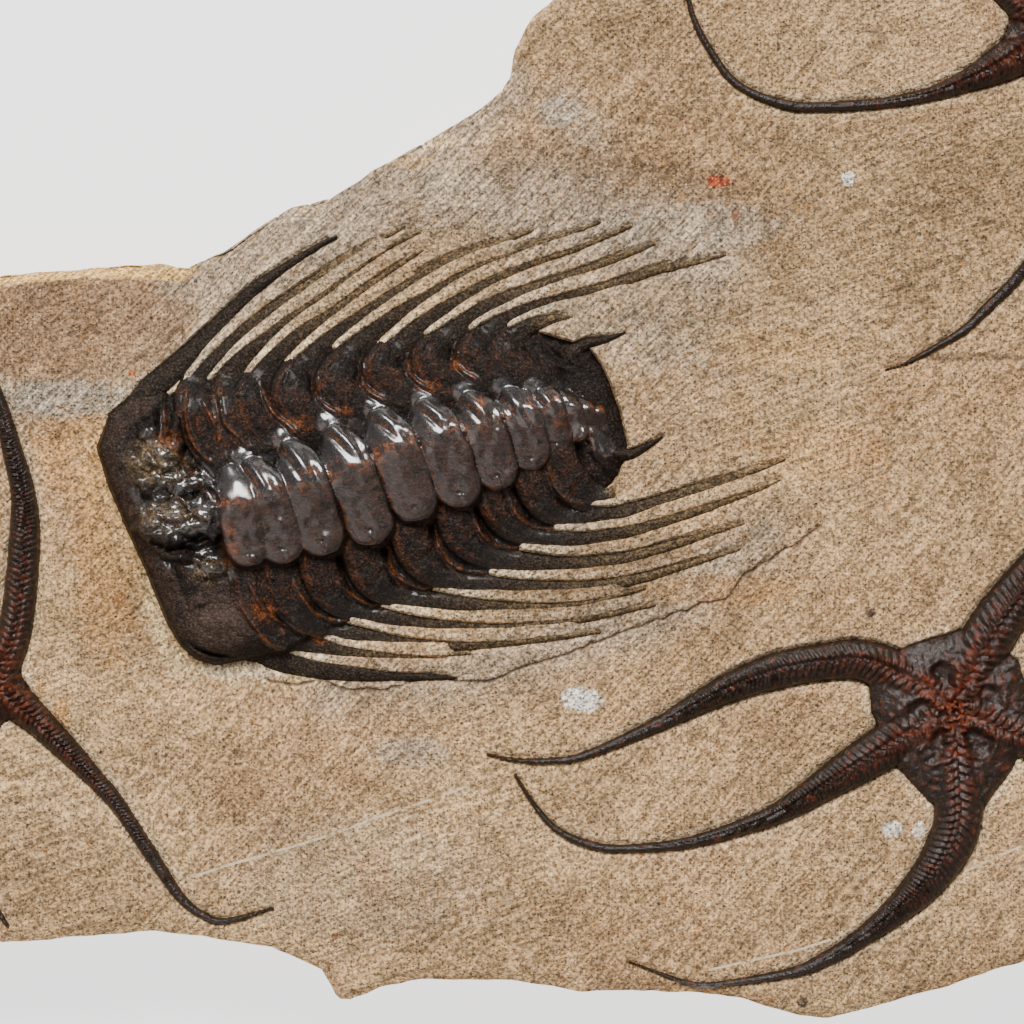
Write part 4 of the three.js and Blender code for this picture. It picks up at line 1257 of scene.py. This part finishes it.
def grain_group():
    """Sand grains: dark specks, light specks and a fine unevenness."""
    group, source, result = new_group(
        "Stone grain",
        [("Vector", "NodeSocketVector", None), ("Grains per metre", "NodeSocketFloat", 1500.0),
         ("Dark share", "NodeSocketFloat", 0.5)],
        [("Dark", "NodeSocketFloat"), ("Light", "NodeSocketFloat"), ("Uneven", "NodeSocketFloat")])
    fine = add_node(group, "ShaderNodeTexNoise")
    plug(group, source.outputs["Vector"], fine.inputs["Vector"])
    plug(group, source.outputs["Grains per metre"], fine.inputs["Scale"])
    fine.inputs["Detail"].default_value = 3
    fine.inputs["Roughness"].default_value = 0.65
    depth = add_node(group, "ShaderNodeVectorMath", operation="DOT_PRODUCT")
    plug(group, source.outputs["Vector"], depth.inputs[0])
    depth.inputs[1].default_value = (0, 0, 0.7)
    slanted = add_node(group, "ShaderNodeVectorMath", operation="ADD")
    plug(group, source.outputs["Vector"], slanted.inputs[0])
    plug(group, depth.outputs["Value"], slanted.inputs[1])
    cells = add_node(group, "ShaderNodeTexVoronoi", voronoi_dimensions="2D")
    plug(group, slanted.outputs[0], cells.inputs["Vector"])
    plug(group, source.outputs["Grains per metre"], cells.inputs["Scale"])
    chosen = add_node(group, "ShaderNodeSeparateColor")
    plug(group, cells.outputs["Color"], chosen.inputs[0])
    share = maths(group, "SUBTRACT", source.outputs["Dark share"], chosen.outputs[0])
    dot = stepped(group, cells.outputs["Distance"], 0.42, 0.1)
    dark = times(group, stepped(group, share, 0.0, 0.12), dot)
    plug(group, dark, result.inputs["Dark"])
    light = times(group, stepped(group, chosen.outputs[1], 0.72, 0.9), dot)
    plug(group, light, result.inputs["Light"])
    plug(group, fine.outputs["Fac"], result.inputs["Uneven"])
    return group


def line_group():
    """A thin straight line on the face from one point to another, broken here and there."""
    group, source, result = new_group(
        "Thin line",
        [("Vector", "NodeSocketVector", None), ("Start", "NodeSocketVector", None),
         ("End", "NodeSocketVector", None), ("Half width", "NodeSocketFloat", 0.0002)],
        [("Line", "NodeSocketFloat")])

    def vector_maths(kind, first, second):
        node = add_node(group, "ShaderNodeVectorMath", operation=kind)
        plug(group, first, node.inputs[0])
        plug(group, second, node.inputs[1])
        return node

    flat = add_node(group, "ShaderNodeVectorMath", operation="MULTIPLY")
    plug(group, source.outputs["Vector"], flat.inputs[0])
    flat.inputs[1].default_value = (1, 1, 0)
    along = vector_maths("SUBTRACT", source.outputs["End"], source.outputs["Start"]).outputs[0]
    reach = vector_maths("SUBTRACT", flat.outputs[0], source.outputs["Start"]).outputs[0]
    share = maths(group, "DIVIDE", vector_maths("DOT_PRODUCT", reach, along).outputs["Value"],
                  vector_maths("DOT_PRODUCT", along, along).outputs["Value"], clamp=True)
    foot = add_node(group, "ShaderNodeVectorMath", operation="SCALE")
    plug(group, along, foot.inputs[0])
    plug(group, share, foot.inputs["Scale"])
    gap = vector_maths("DISTANCE", reach, foot.outputs[0]).outputs["Value"]
    width = maths(group, "DIVIDE", gap, source.outputs["Half width"])
    plug(group, stepped(group, width, 1.0, 0.4), result.inputs["Line"])
    return group


def place_line(tree, group, place, start, end, half_width):
    node = add_node(tree, "ShaderNodeGroup", node_tree=group)
    plug(tree, place, node.inputs["Vector"])
    node.inputs["Start"].default_value = (*(at([start])[0] * MM), 0)
    node.inputs["End"].default_value = (*(at([end])[0] * MM), 0)
    node.inputs["Half width"].default_value = half_width * MM
    return node.outputs["Line"]


def place_grain(tree, group, place, per_metre, dark_share):
    node = add_node(tree, "ShaderNodeGroup", node_tree=group)
    plug(tree, place, node.inputs["Vector"])
    node.inputs["Grains per metre"].default_value = per_metre
    node.inputs["Dark share"].default_value = dark_share
    return node.outputs["Dark"], node.outputs["Light"], node.outputs["Uneven"]


def new_material(name):
    material = bpy.data.materials.new(name)
    material.use_nodes = True
    tree = material.node_tree
    tree.nodes.clear()
    shader = add_node(tree, "ShaderNodeBsdfPrincipled")
    result = add_node(tree, "ShaderNodeOutputMaterial")
    plug(tree, shader.outputs[0], result.inputs["Surface"])
    place = add_node(tree, "ShaderNodeTexCoord").outputs["Object"]
    return material, tree, shader, place


def bump(tree, height, distance, strength=1.0, below=None):
    node = add_node(tree, "ShaderNodeBump")
    node.inputs["Distance"].default_value = distance
    node.inputs["Strength"].default_value = strength
    plug(tree, height, node.inputs["Height"])
    if below is not None:
        plug(tree, below, node.inputs["Normal"])
    return node.outputs["Normal"]


def spot_group():
    """An uneven oval spot on the face."""
    group, source, result = new_group(
        "Oval spot",
        [("Vector", "NodeSocketVector", None), ("Middle", "NodeSocketVector", None),
         ("Per radius", "NodeSocketVector", None), ("Strength", "NodeSocketFloat", 1.0)],
        [("Spot", "NodeSocketFloat")])
    scaled = add_node(group, "ShaderNodeVectorMath", operation="MULTIPLY_ADD")
    plug(group, source.outputs["Vector"], scaled.inputs[0])
    plug(group, source.outputs["Per radius"], scaled.inputs[1])
    plug(group, source.outputs["Middle"], scaled.inputs[2])
    size = add_node(group, "ShaderNodeVectorMath", operation="LENGTH")
    plug(group, scaled.outputs[0], size.inputs[0])
    ragged = times(group, noise(group, source.outputs["Vector"], 330, 5, 0.8), 2.4)
    far = plus(group, size.outputs["Value"], ragged)
    plug(group, stepped(group, far, 2.45, 2.05, 0, source.outputs["Strength"]), result.inputs["Spot"])
    return group


def place_spot(tree, group, place, middle, radii, strength):
    """A spot at a middle, which the group takes in radii, as it does the distance from it."""
    node = add_node(tree, "ShaderNodeGroup", node_tree=group)
    plug(tree, place, node.inputs["Vector"])
    x, y = at([middle])[0] * MM
    across, down = (1 / (radius * GRID_STEP * MM) for radius in radii)
    node.inputs["Middle"].default_value = (-x * across, -y * down, 0)
    node.inputs["Per radius"].default_value = (across, down, 0)
    node.inputs["Strength"].default_value = strength
    return node.outputs["Spot"]


def limestone_material(slab, grain, thin_line, spot):
    """Tan to grey sandy limestone with tool marks, specks, stains and thin white veins."""
    material, tree, shader, place = new_material("Sandy limestone")
    dark, light, uneven = place_grain(tree, grain, place, 1700, 0.36)
    coarse_dark = place_grain(tree, grain, place, 900, 0.16)[0]
    patches = noise(tree, place, 26, 3, 0.55)
    blotches = noise(tree, place, 110, 4, 0.6)
    fine = noise(tree, place, 1500, 2, 0.6)
    clumps = noise(tree, place, 520, 2, 0.6)
    low_strokes = strokes_along(tree, place, 20, 0.0055, 0.0007, 3)
    steep_strokes = strokes_along(tree, place, 48, 0.0055, 0.0007, 3)
    steepness = stepped(tree, noise(tree, place, 22, 1), 0.42, 0.56)
    stroke = mixed(tree, steepness, low_strokes, steep_strokes)
    scratch = strokes_along(tree, place, 44, 0.008, 0.0005)

    colour = mixed(tree, stepped(tree, patches, 0.35, 0.65), slab.tan, slab.dark_tan)
    colour = mixed(tree, stepped(tree, blotches, 0.4, 0.7, 0, 0.55), colour, slab.tan)
    colour = mixed(tree, stepped(tree, blotches, 0.62, 0.8, 0, 0.35), colour, slab.ochre)
    deep, rim, grey, coarse, bevel, broken, moat, crack, side = masks_of(
        tree, "deep", "rim", "grey", "coarse", "bevel", "broken", "moat", "crack", "side")
    colour = mixed(tree, times(tree, deep, 0.85), colour, slab.shadow)
    uneven_grey = times(tree, grey, stepped(tree, blotches, 0.25, 0.6, 0.45, 1.0))
    colour = mixed(tree, uneven_grey, colour, slab.grey)
    colour = mixed(tree, times(tree, coarse, 0.75), colour, slab.brown)
    colour = mixed(tree, stepped(tree, bevel, 0.25, 0.8, 0, 0.7), colour, slab.grey)
    colour = mixed(tree, stepped(tree, moat, 0.2, 0.8, 0, 0.55), colour, slab.yellow)
    colour = mixed(tree, stepped(tree, broken, 0.04, 0.2, 0, 0.85), colour, slab.fresh)
    # Cream on the rims: fresh pale matrix, and painted highlight on the lips that face the lamp.
    rim_and_highlight_share = times(tree, rim, stepped(tree, fine, 0.3, 0.6, 0.5, 0.9))
    colour = mixed(tree, times(tree, rim_and_highlight_share, 0.75), colour, slab.cream)
    colour = mixed(tree, times(tree, side, 0.5), colour, slab.dark_tan)
    for middle, radii, paint, strength in MARKS:
        share = place_spot(tree, spot, place, middle, radii, strength)
        colour = mixed(tree, share, colour, getattr(slab, paint))
    light_share = times(tree, light, 0.6)
    colour = mixed(tree, light_share, colour, slab.cream)
    colour = mixed(tree, times(tree, dark, 0.75), colour, slab.speck)
    specks = times(tree, coarse_dark, stepped(tree, blotches, 0.4, 0.65, 0.1, 0.75))
    colour = mixed(tree, specks, colour, slab.speck)
    iron = noise(tree, place, 700, 3, 0.7)
    iron_share = stepped(tree, iron, 0.56, 0.72, 0, 0.7)
    colour = mixed(tree, iron_share, colour, slab.ochre)
    shade = stepped(tree, fine, 0.34, 0.66, 0.5, 1.55)
    lumps = stepped(tree, clumps, 0.3, 0.7, 0.8, 1.2)
    strokes = stepped(tree, stroke, 0.36, 0.64, 0.72, 1.24)
    cloudy = stepped(tree, noise(tree, place, 60, 4, 0.65), 0.35, 0.65, 0.84, 1.14)
    shade = times(tree, times(tree, shade, lumps), strokes)
    shade = times(tree, shade, cloudy)
    scraped = maths(tree, "MAXIMUM", bevel, grey)
    marks = stepped(tree, scratch, 0.4, 0.6, 0.72, 1.25)
    shade = times(tree, shade, mixed(tree, scraped, (1, 1, 1), marks))
    lines = stepped(tree, strokes_along(tree, place, -66, 0.008, 0.0007), 0.4, 0.6, 0.7, 1.25)
    shade = times(tree, shade, mixed(tree, moat, (1, 1, 1), lines))
    colour = mixed(tree, 1.0, colour, shade, "MULTIPLY")
    vein = 0.0
    for points in VEINS:
        for start, end in zip(points[:-1], points[1:]):
            line = place_line(tree, thin_line, place, start, end, VEIN_HALF_WIDTH)
            vein = maths(tree, "MAXIMUM", line, vein)
    wander = stepped(tree, noise(tree, place, 240, 2), 0.36, 0.5, 0.1, 1.0)
    colour = mixed(tree, times(tree, vein, wander), colour, slab.cream)
    colour = mixed(tree, times(tree, crack, 0.8), colour, slab.speck)
    plug(tree, colour, shader.inputs["Base Color"])
    plug(tree, stepped(tree, fine, 0.2, 0.8, 0.8, 0.98), shader.inputs["Roughness"])
    shader.inputs["Specular IOR Level"].default_value = 0.25

    height = times(tree, stroke, 0.5)
    tooled = plus(tree, times(tree, bevel, 0.9), times(tree, grey, 0.45))
    for relief, share in ((scratch, tooled), (fine, 0.8), (uneven, 0.45), (dark, -0.35), (coarse_dark, -0.5),
                          (blotches, 0.7)):
        height = plus(tree, height, times(tree, relief, share))
    plug(tree, bump(tree, height, 0.00042, 0.9), shader.inputs["Normal"])
    return material


def shell_material(shell, grain):
    """Varnished petrified shell: near black, rusty on its ridges, satin on the worn lobes, whose paler brown
    is partly painted sheen, and painted shade in its creases.
    """
    material, tree, shader, place = new_material("Petrified shell")
    light, uneven = place_grain(tree, grain, place, 2600, 0.3)[1:]
    blotches = noise(tree, place, 190, 4, 0.6)
    fine = noise(tree, place, 1500, 4, 0.7)
    medium = noise(tree, place, 620, 3, 0.6)
    rust, lobe, spine, olive_and_sheen, seam, cheek, film, gloss = masks_of(
        tree, "rust", "lobe", "spine", "olive_and_sheen", "seam", "cheek", "film", "gloss")
    colour = mixed(tree, stepped(tree, blotches, 0.5, 0.8, 0, 0.4), shell.shell, shell.lobe)
    # The cheek takes the lobes' paler brown: partly painted sheen.
    colour = mixed(tree, times(tree, cheek, 0.8), colour, shell.lobe)
    colour = mixed(tree, times(tree, cheek, 0.16), colour, shell.ash)
    # Paler brown on the lobes: worn shell, partly a painted sheen.
    colour = mixed(tree, times(tree, lobe, stepped(tree, medium, 0.36, 0.56, 0.3, 1.0)), colour,
                   shell.lobe)
    paler = times(tree, spine, stepped(tree, film, 0, 0.8, 0.25, 0.95))
    colour = mixed(tree, paler, colour, shell.spine)
    worn = times(tree, film, stepped(tree, medium, 0.35, 0.6, 0.15, 0.8))
    colour = mixed(tree, worn, colour, shell.olive_and_sheen)
    # Olive patches on the head: thin shell, partly a painted highlight.
    colour = mixed(tree, times(tree, olive_and_sheen, stepped(tree, medium, 0.4, 0.6, 0.2, 0.9)), colour,
                   shell.olive_and_sheen)
    patchy = times(tree, rust, stepped(tree, medium, 0.4, 0.6, 0.08, 0.95))
    colour = mixed(tree, patchy, colour, shell.rust)
    stray = times(tree, stepped(tree, noise(tree, place, 420, 4, 0.65), 0.6, 0.72, 0, 0.35),
                  maths(tree, "SUBTRACT", 1.0, spine))
    colour = mixed(tree, stray, colour, shell.rust)
    colour = mixed(tree, times(tree, light, 0.12), colour, shell.olive_and_sheen)
    # Near black in the creases between rings and lobes, the rib furrows, the slots and the eye slit: painted
    # shade.
    colour = mixed(tree, times(tree, seam, 0.85), colour, (0.004, 0.003, 0.003))
    grains = noise(tree, place, 2300, 2, 0.6)
    shade = times(tree, stepped(tree, fine, 0.35, 0.65, 0.45, 1.7),
                  stepped(tree, grains, 0.35, 0.65, 0.45, 1.75))
    even = times(tree, maths(tree, "MAXIMUM", lobe, times(tree, cheek, 0.5)), 0.7)
    shade = mixed(tree, even, shade, (1, 1, 1))
    colour = mixed(tree, 1.0, colour, shade, "MULTIPLY")
    ashy = times(tree, stepped(tree, grains, 0.55, 0.72, 0, 0.34),
                 stepped(tree, blotches, 0.35, 0.6, 0.4, 1.0))
    ashy = times(tree, ashy, maths(tree, "SUBTRACT", 1.0, even))
    colour = mixed(tree, ashy, colour, shell.ash)
    plug(tree, colour, shader.inputs["Base Color"])
    rough = plus(tree, 0.42, times(tree, gloss, -0.2))
    rough = plus(tree, rough, times(tree, spine, 0.1))
    rough = plus(tree, rough, stepped(tree, medium, 0.3, 0.7, -0.06, 0.1))
    plug(tree, rough, shader.inputs["Roughness"])
    shader.inputs["Specular IOR Level"].default_value = 0.22
    plug(tree, gloss, shader.inputs["Coat Weight"])
    shader.inputs["Coat Roughness"].default_value = 0.21
    shader.inputs["Coat IOR"].default_value = 1.9
    height = times(tree, fine, 0.9)
    coarser = times(tree, medium, stepped(tree, gloss, 0, 1, 0.9, 0.25))
    height = plus(tree, height, coarser)
    height = plus(tree, height, times(tree, uneven, 0.3))
    height = plus(tree, height, times(tree, noise(tree, place, 2600, 2), 0.35))
    flatter = stepped(tree, gloss, 0, 1, 1.0, 0.6)
    plug(tree, bump(tree, times(tree, height, flatter), 0.00048, 0.9), shader.inputs["Normal"])
    return material


def star_material(star, grain):
    """Dark satin plates with a rusty red middle."""
    material, tree, shader, place = new_material("Brittle star plates")
    light, uneven = place_grain(tree, grain, place, 2000, 0.3)[1:]
    medium = noise(tree, place, 560, 3, 0.6)
    fine = noise(tree, place, 1700, 3, 0.7)
    red, = masks_of(tree, "red")
    stained = times(tree, red, stepped(tree, medium, 0.38, 0.62, 0.15, 0.95))
    colour = mixed(tree, stained, star.plates, star.red)
    colour = mixed(tree, stepped(tree, medium, 0.56, 0.7, 0, 0.5), colour, star.red)
    colour = mixed(tree, times(tree, light, 0.3), colour, (0.22, 0.17, 0.13))
    colour = mixed(tree, 1.0, colour, stepped(tree, fine, 0.3, 0.7, 0.65, 1.3), "MULTIPLY")
    plug(tree, colour, shader.inputs["Base Color"])
    plug(tree, stepped(tree, medium, 0.3, 0.7, 0.28, 0.5), shader.inputs["Roughness"])
    height = plus(tree, fine, times(tree, uneven, 0.6))
    plug(tree, bump(tree, height, 0.00025, 0.8), shader.inputs["Normal"])
    return material


MADE = {}


def settings():
    scene = bpy.context.scene
    return scene.fossil_slab, scene.fossil_trilobite, scene.fossil_star


def shared_groups():
    if "grain" not in MADE:
        MADE["grain"] = grain_group()
        MADE["line"] = line_group()
        MADE["spot"] = spot_group()
    return MADE["grain"], MADE["line"], MADE["spot"]


def outline_feet(places):
    """For points near the slab's outline: the nearest point on it, and the way out there."""
    edge = at(SLAB_EDGE)
    after = np.roll(edge, -1, axis=0)
    along_edge = after - edge
    across_edge = np.column_stack((-along_edge[:, 1], along_edge[:, 0])) / np.hypot(*along_edge.T)[:, None]
    corner_outs = across_edge + np.roll(across_edge, 1, axis=0)
    best = np.full(len(places), np.inf)
    feet = np.zeros((len(places), 2))
    outs = np.zeros((len(places), 2))
    for a, b, first, second in zip(edge, after, corner_outs, np.roll(corner_outs, -1, axis=0)):
        along = b - a
        t = np.clip(((places - a) @ along) / (along @ along), 0, 1)
        foot = a + t[:, None] * along
        far = np.hypot(*(places - foot).T)
        closer = far < best
        best[closer] = far[closer]
        feet[closer] = foot[closer]
        lean = (1 - t)[:, None] * first + t[:, None] * second
        outs[closer] = (lean / np.hypot(*lean.T)[:, None])[closer]
    return feet, outs


class FOSSIL_OT_slab(bpy.types.Operator):
    """Builds the slab with its broken sides"""

    bl_idname = "fossil.slab"
    bl_label = "Matrix slab"

    def execute(self, context):
        slab, shell = settings()[:2]
        low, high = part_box("matrix_slab")
        fine, coarse = ((0.27, 0.5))
        sheet = Sheet(spacing(low[0] / MM - 1, high[0] / MM + 1, -76, 48, fine, coarse),
                      spacing(low[1] / MM - 1, high[1] / MM + 1, -46, 49, fine, coarse))
        height, masks = matrix_relief(sheet, slab, shell)
        piece = add_grid("slab_stone", sheet, height)
        keep_faces(piece, sheet, inside_depth(sheet, SLAB_EDGE, 6) > 1.9)
        mesh = piece.data

        select_rim("VERT")
        bpy.ops.object.mode_set(mode="OBJECT")
        places = corner_places(mesh)
        rim = selected_corners(mesh)
        feet, outs = outline_feet(places[rim, :2] / MM)
        for name, values in zip(RIM_FIELDS, (*feet.T, *outs.T)):
            full = np.zeros(len(mesh.vertices))
            full[rim] = values
            store_values(mesh, name, full)
        self.shape_rim(mesh, sheet, height, 1.0)
        for level in SIDE_LEVELS:
            extrude_rim()
            self.shape_rim(mesh, sheet, height, level)
        close_underneath(piece)
        thin_out(piece, LARGE_PIECE)
        for name in RIM_FIELDS:
            mesh.attributes.remove(mesh.attributes[name])
        store_masks(piece, sheet, masks)
        places = corner_places(mesh) / MM
        below = sheet.read(height, places[:, 0], places[:, 1]) - places[:, 2]
        store_values(mesh, "side", ease(below, 0.3, 1.5))
        finish_piece(piece, "matrix_slab", limestone_material(slab, *shared_groups()))
        return {"FINISHED"}

    def shape_rim(self, mesh, sheet, height, level):
        """Moves the selected rim to its broken outline at a share of the slab's thickness."""
        chosen = selected_corners(mesh)
        x, y, out_x, out_y = (stored_values(mesh, name)[chosen] for name in RIM_FIELDS)
        top = sheet.read(height, x, y)
        z = level * 28.5 if level < 1 else top
        inset = np.interp(level, (0, 0.43, 0.8, 1), (2.6, 0.7, 0.5, 0.15))
        rough = 0.9 * (lattice_noise(x + 7 * level, y - 9 * level, 5, 31) + 1) / 2
        rough += 0.5 * (lattice_noise(x, y + 30 * level, 2.2, 32) + 1) / 2
        step_back = inset + rough * (0.45 if level > 0.95 else 0.8)
        places = corner_places(mesh)
        places[chosen, 0] = (x - out_x * step_back) * MM
        places[chosen, 1] = (y - out_y * step_back) * MM
        places[chosen, 2] = z * MM
        mesh.vertices.foreach_set("co", places.ravel())
        mesh.update()


class FOSSIL_OT_trilobite(bpy.types.Operator):
    """Builds the trilobite"""

    bl_idname = "fossil.trilobite"
    bl_label = "Trilobite"

    def execute(self, context):
        slab, shell = settings()[:2]
        sheet = fossil_sheet("trilobite", 0.24)
        matrix = matrix_relief(sheet, slab, shell)[0]
        fossil, masks = trilobite_relief(sheet, slab, shell)
        material = shell_material(shell, shared_groups()[0])
        fossil_piece("trilobite_shell", "trilobite", sheet, fossil, matrix, masks,
                     material, LARGE_PIECE)
        return {"FINISHED"}


class FOSSIL_OT_brittle_stars(bpy.types.Operator):
    """Builds the brittle stars"""

    bl_idname = "fossil.brittle_stars"
    bl_label = "Brittle stars"

    def execute(self, context):
        slab, shell, star = settings()
        material = star_material(star, shared_groups()[0])
        for node, plan in STARS.items():
            sheet = fossil_sheet(node, 0.28)
            matrix = matrix_relief(sheet, slab, shell)[0]
            fossil, masks = star_relief(sheet, plan, slab, star)
            fossil_piece(f"{node}_plates", node, sheet, fossil, matrix, masks, material,
                         STAR_PIECE)
        return {"FINISHED"}


class FOSSIL_OT_stage(bpy.types.Operator):
    """Lays a pale floor and sets the lights and the camera"""

    bl_idname = "fossil.stage"
    bl_label = "Stage"

    def execute(self, context):
        deselect_everything()
        bpy.ops.mesh.primitive_plane_add(size=FLOOR_SIZE, location=(0, 0, -0.0002))
        floor = context.object
        floor.name = "pale_floor"
        material = bpy.data.materials.new("Pale floor")
        material.use_nodes = True
        paint = material.node_tree.nodes["Principled BSDF"]
        paint.inputs["Base Color"].default_value = (FLOOR_GREY, FLOOR_GREY, FLOOR_GREY, 1)
        paint.inputs["Roughness"].default_value = 0.9
        paint.inputs["Emission Color"].default_value = (1, 1, 1, 1)
        paint.inputs["Emission Strength"].default_value = FLOOR_GLOW
        floor.data.materials.append(material)

        world = bpy.data.worlds.new("Soft studio")
        world.use_nodes = True
        world.node_tree.nodes["Background"].inputs["Color"].default_value = (1, 1, 1, 1)
        world.node_tree.nodes["Background"].inputs["Strength"].default_value = SKY_STRENGTH
        context.scene.world = world

        for lamp in LAMPS:
            self.add_sun(*lamp)

        view = bpy.data.cameras.new("Camera")
        view.lens = CAMERA_LENS
        view.sensor_width = 36
        view.clip_start = 0.05
        view.clip_end = 10
        camera = bpy.data.objects.new("Camera", view)
        camera.location = CAMERA_PLACE
        context.collection.objects.link(camera)
        context.scene.camera = camera
        return {"FINISHED"}

    def add_sun(self, name, place, spread, strength):
        """A far lamp that shines from a place towards the slab."""
        lamp = bpy.data.lights.new(name, "SUN")
        lamp.angle = math.radians(spread)
        lamp.energy = strength
        light = bpy.data.objects.new(name, lamp)
        light.location = place
        light.rotation_euler = Vector(place).to_track_quat("Z", "Y").to_euler()
        bpy.context.collection.objects.link(light)


class FOSSIL_PT_slab(bpy.types.Panel):
    """The slab's tools"""

    bl_idname = "FOSSIL_PT_slab"
    bl_label = "Fossil Slab"
    bl_space_type = "VIEW_3D"
    bl_region_type = "UI"
    bl_category = "Fossil Slab"

    def draw(self, context):
        for operator in OPERATORS:
            self.layout.operator(operator.bl_idname)
        for group in (context.scene.fossil_slab, context.scene.fossil_trilobite, context.scene.fossil_star):
            for name in group.bl_rna.properties.keys():
                if name not in ("rna_type", "name"):
                    self.layout.prop(group, name)


OPERATORS = (FOSSIL_OT_slab, FOSSIL_OT_trilobite, FOSSIL_OT_brittle_stars, FOSSIL_OT_stage)
CLASSES = (SlabSettings, TrilobiteSettings, StarSettings) + OPERATORS + (FOSSIL_PT_slab,)


def register():
    for cls in CLASSES:
        bpy.utils.register_class(cls)
    bpy.types.Scene.fossil_slab = bpy.props.PointerProperty(type=SlabSettings)
    bpy.types.Scene.fossil_trilobite = bpy.props.PointerProperty(type=TrilobiteSettings)
    bpy.types.Scene.fossil_star = bpy.props.PointerProperty(type=StarSettings)


def unregister():
    del bpy.types.Scene.fossil_star
    del bpy.types.Scene.fossil_trilobite
    del bpy.types.Scene.fossil_slab
    for cls in reversed(CLASSES):
        bpy.utils.unregister_class(cls)


def main():
    register()
    bpy.ops.fossil.slab()
    bpy.ops.fossil.trilobite()
    bpy.ops.fossil.brittle_stars()
    bpy.ops.fossil.stage()


if __name__ == "__main__":
    main()
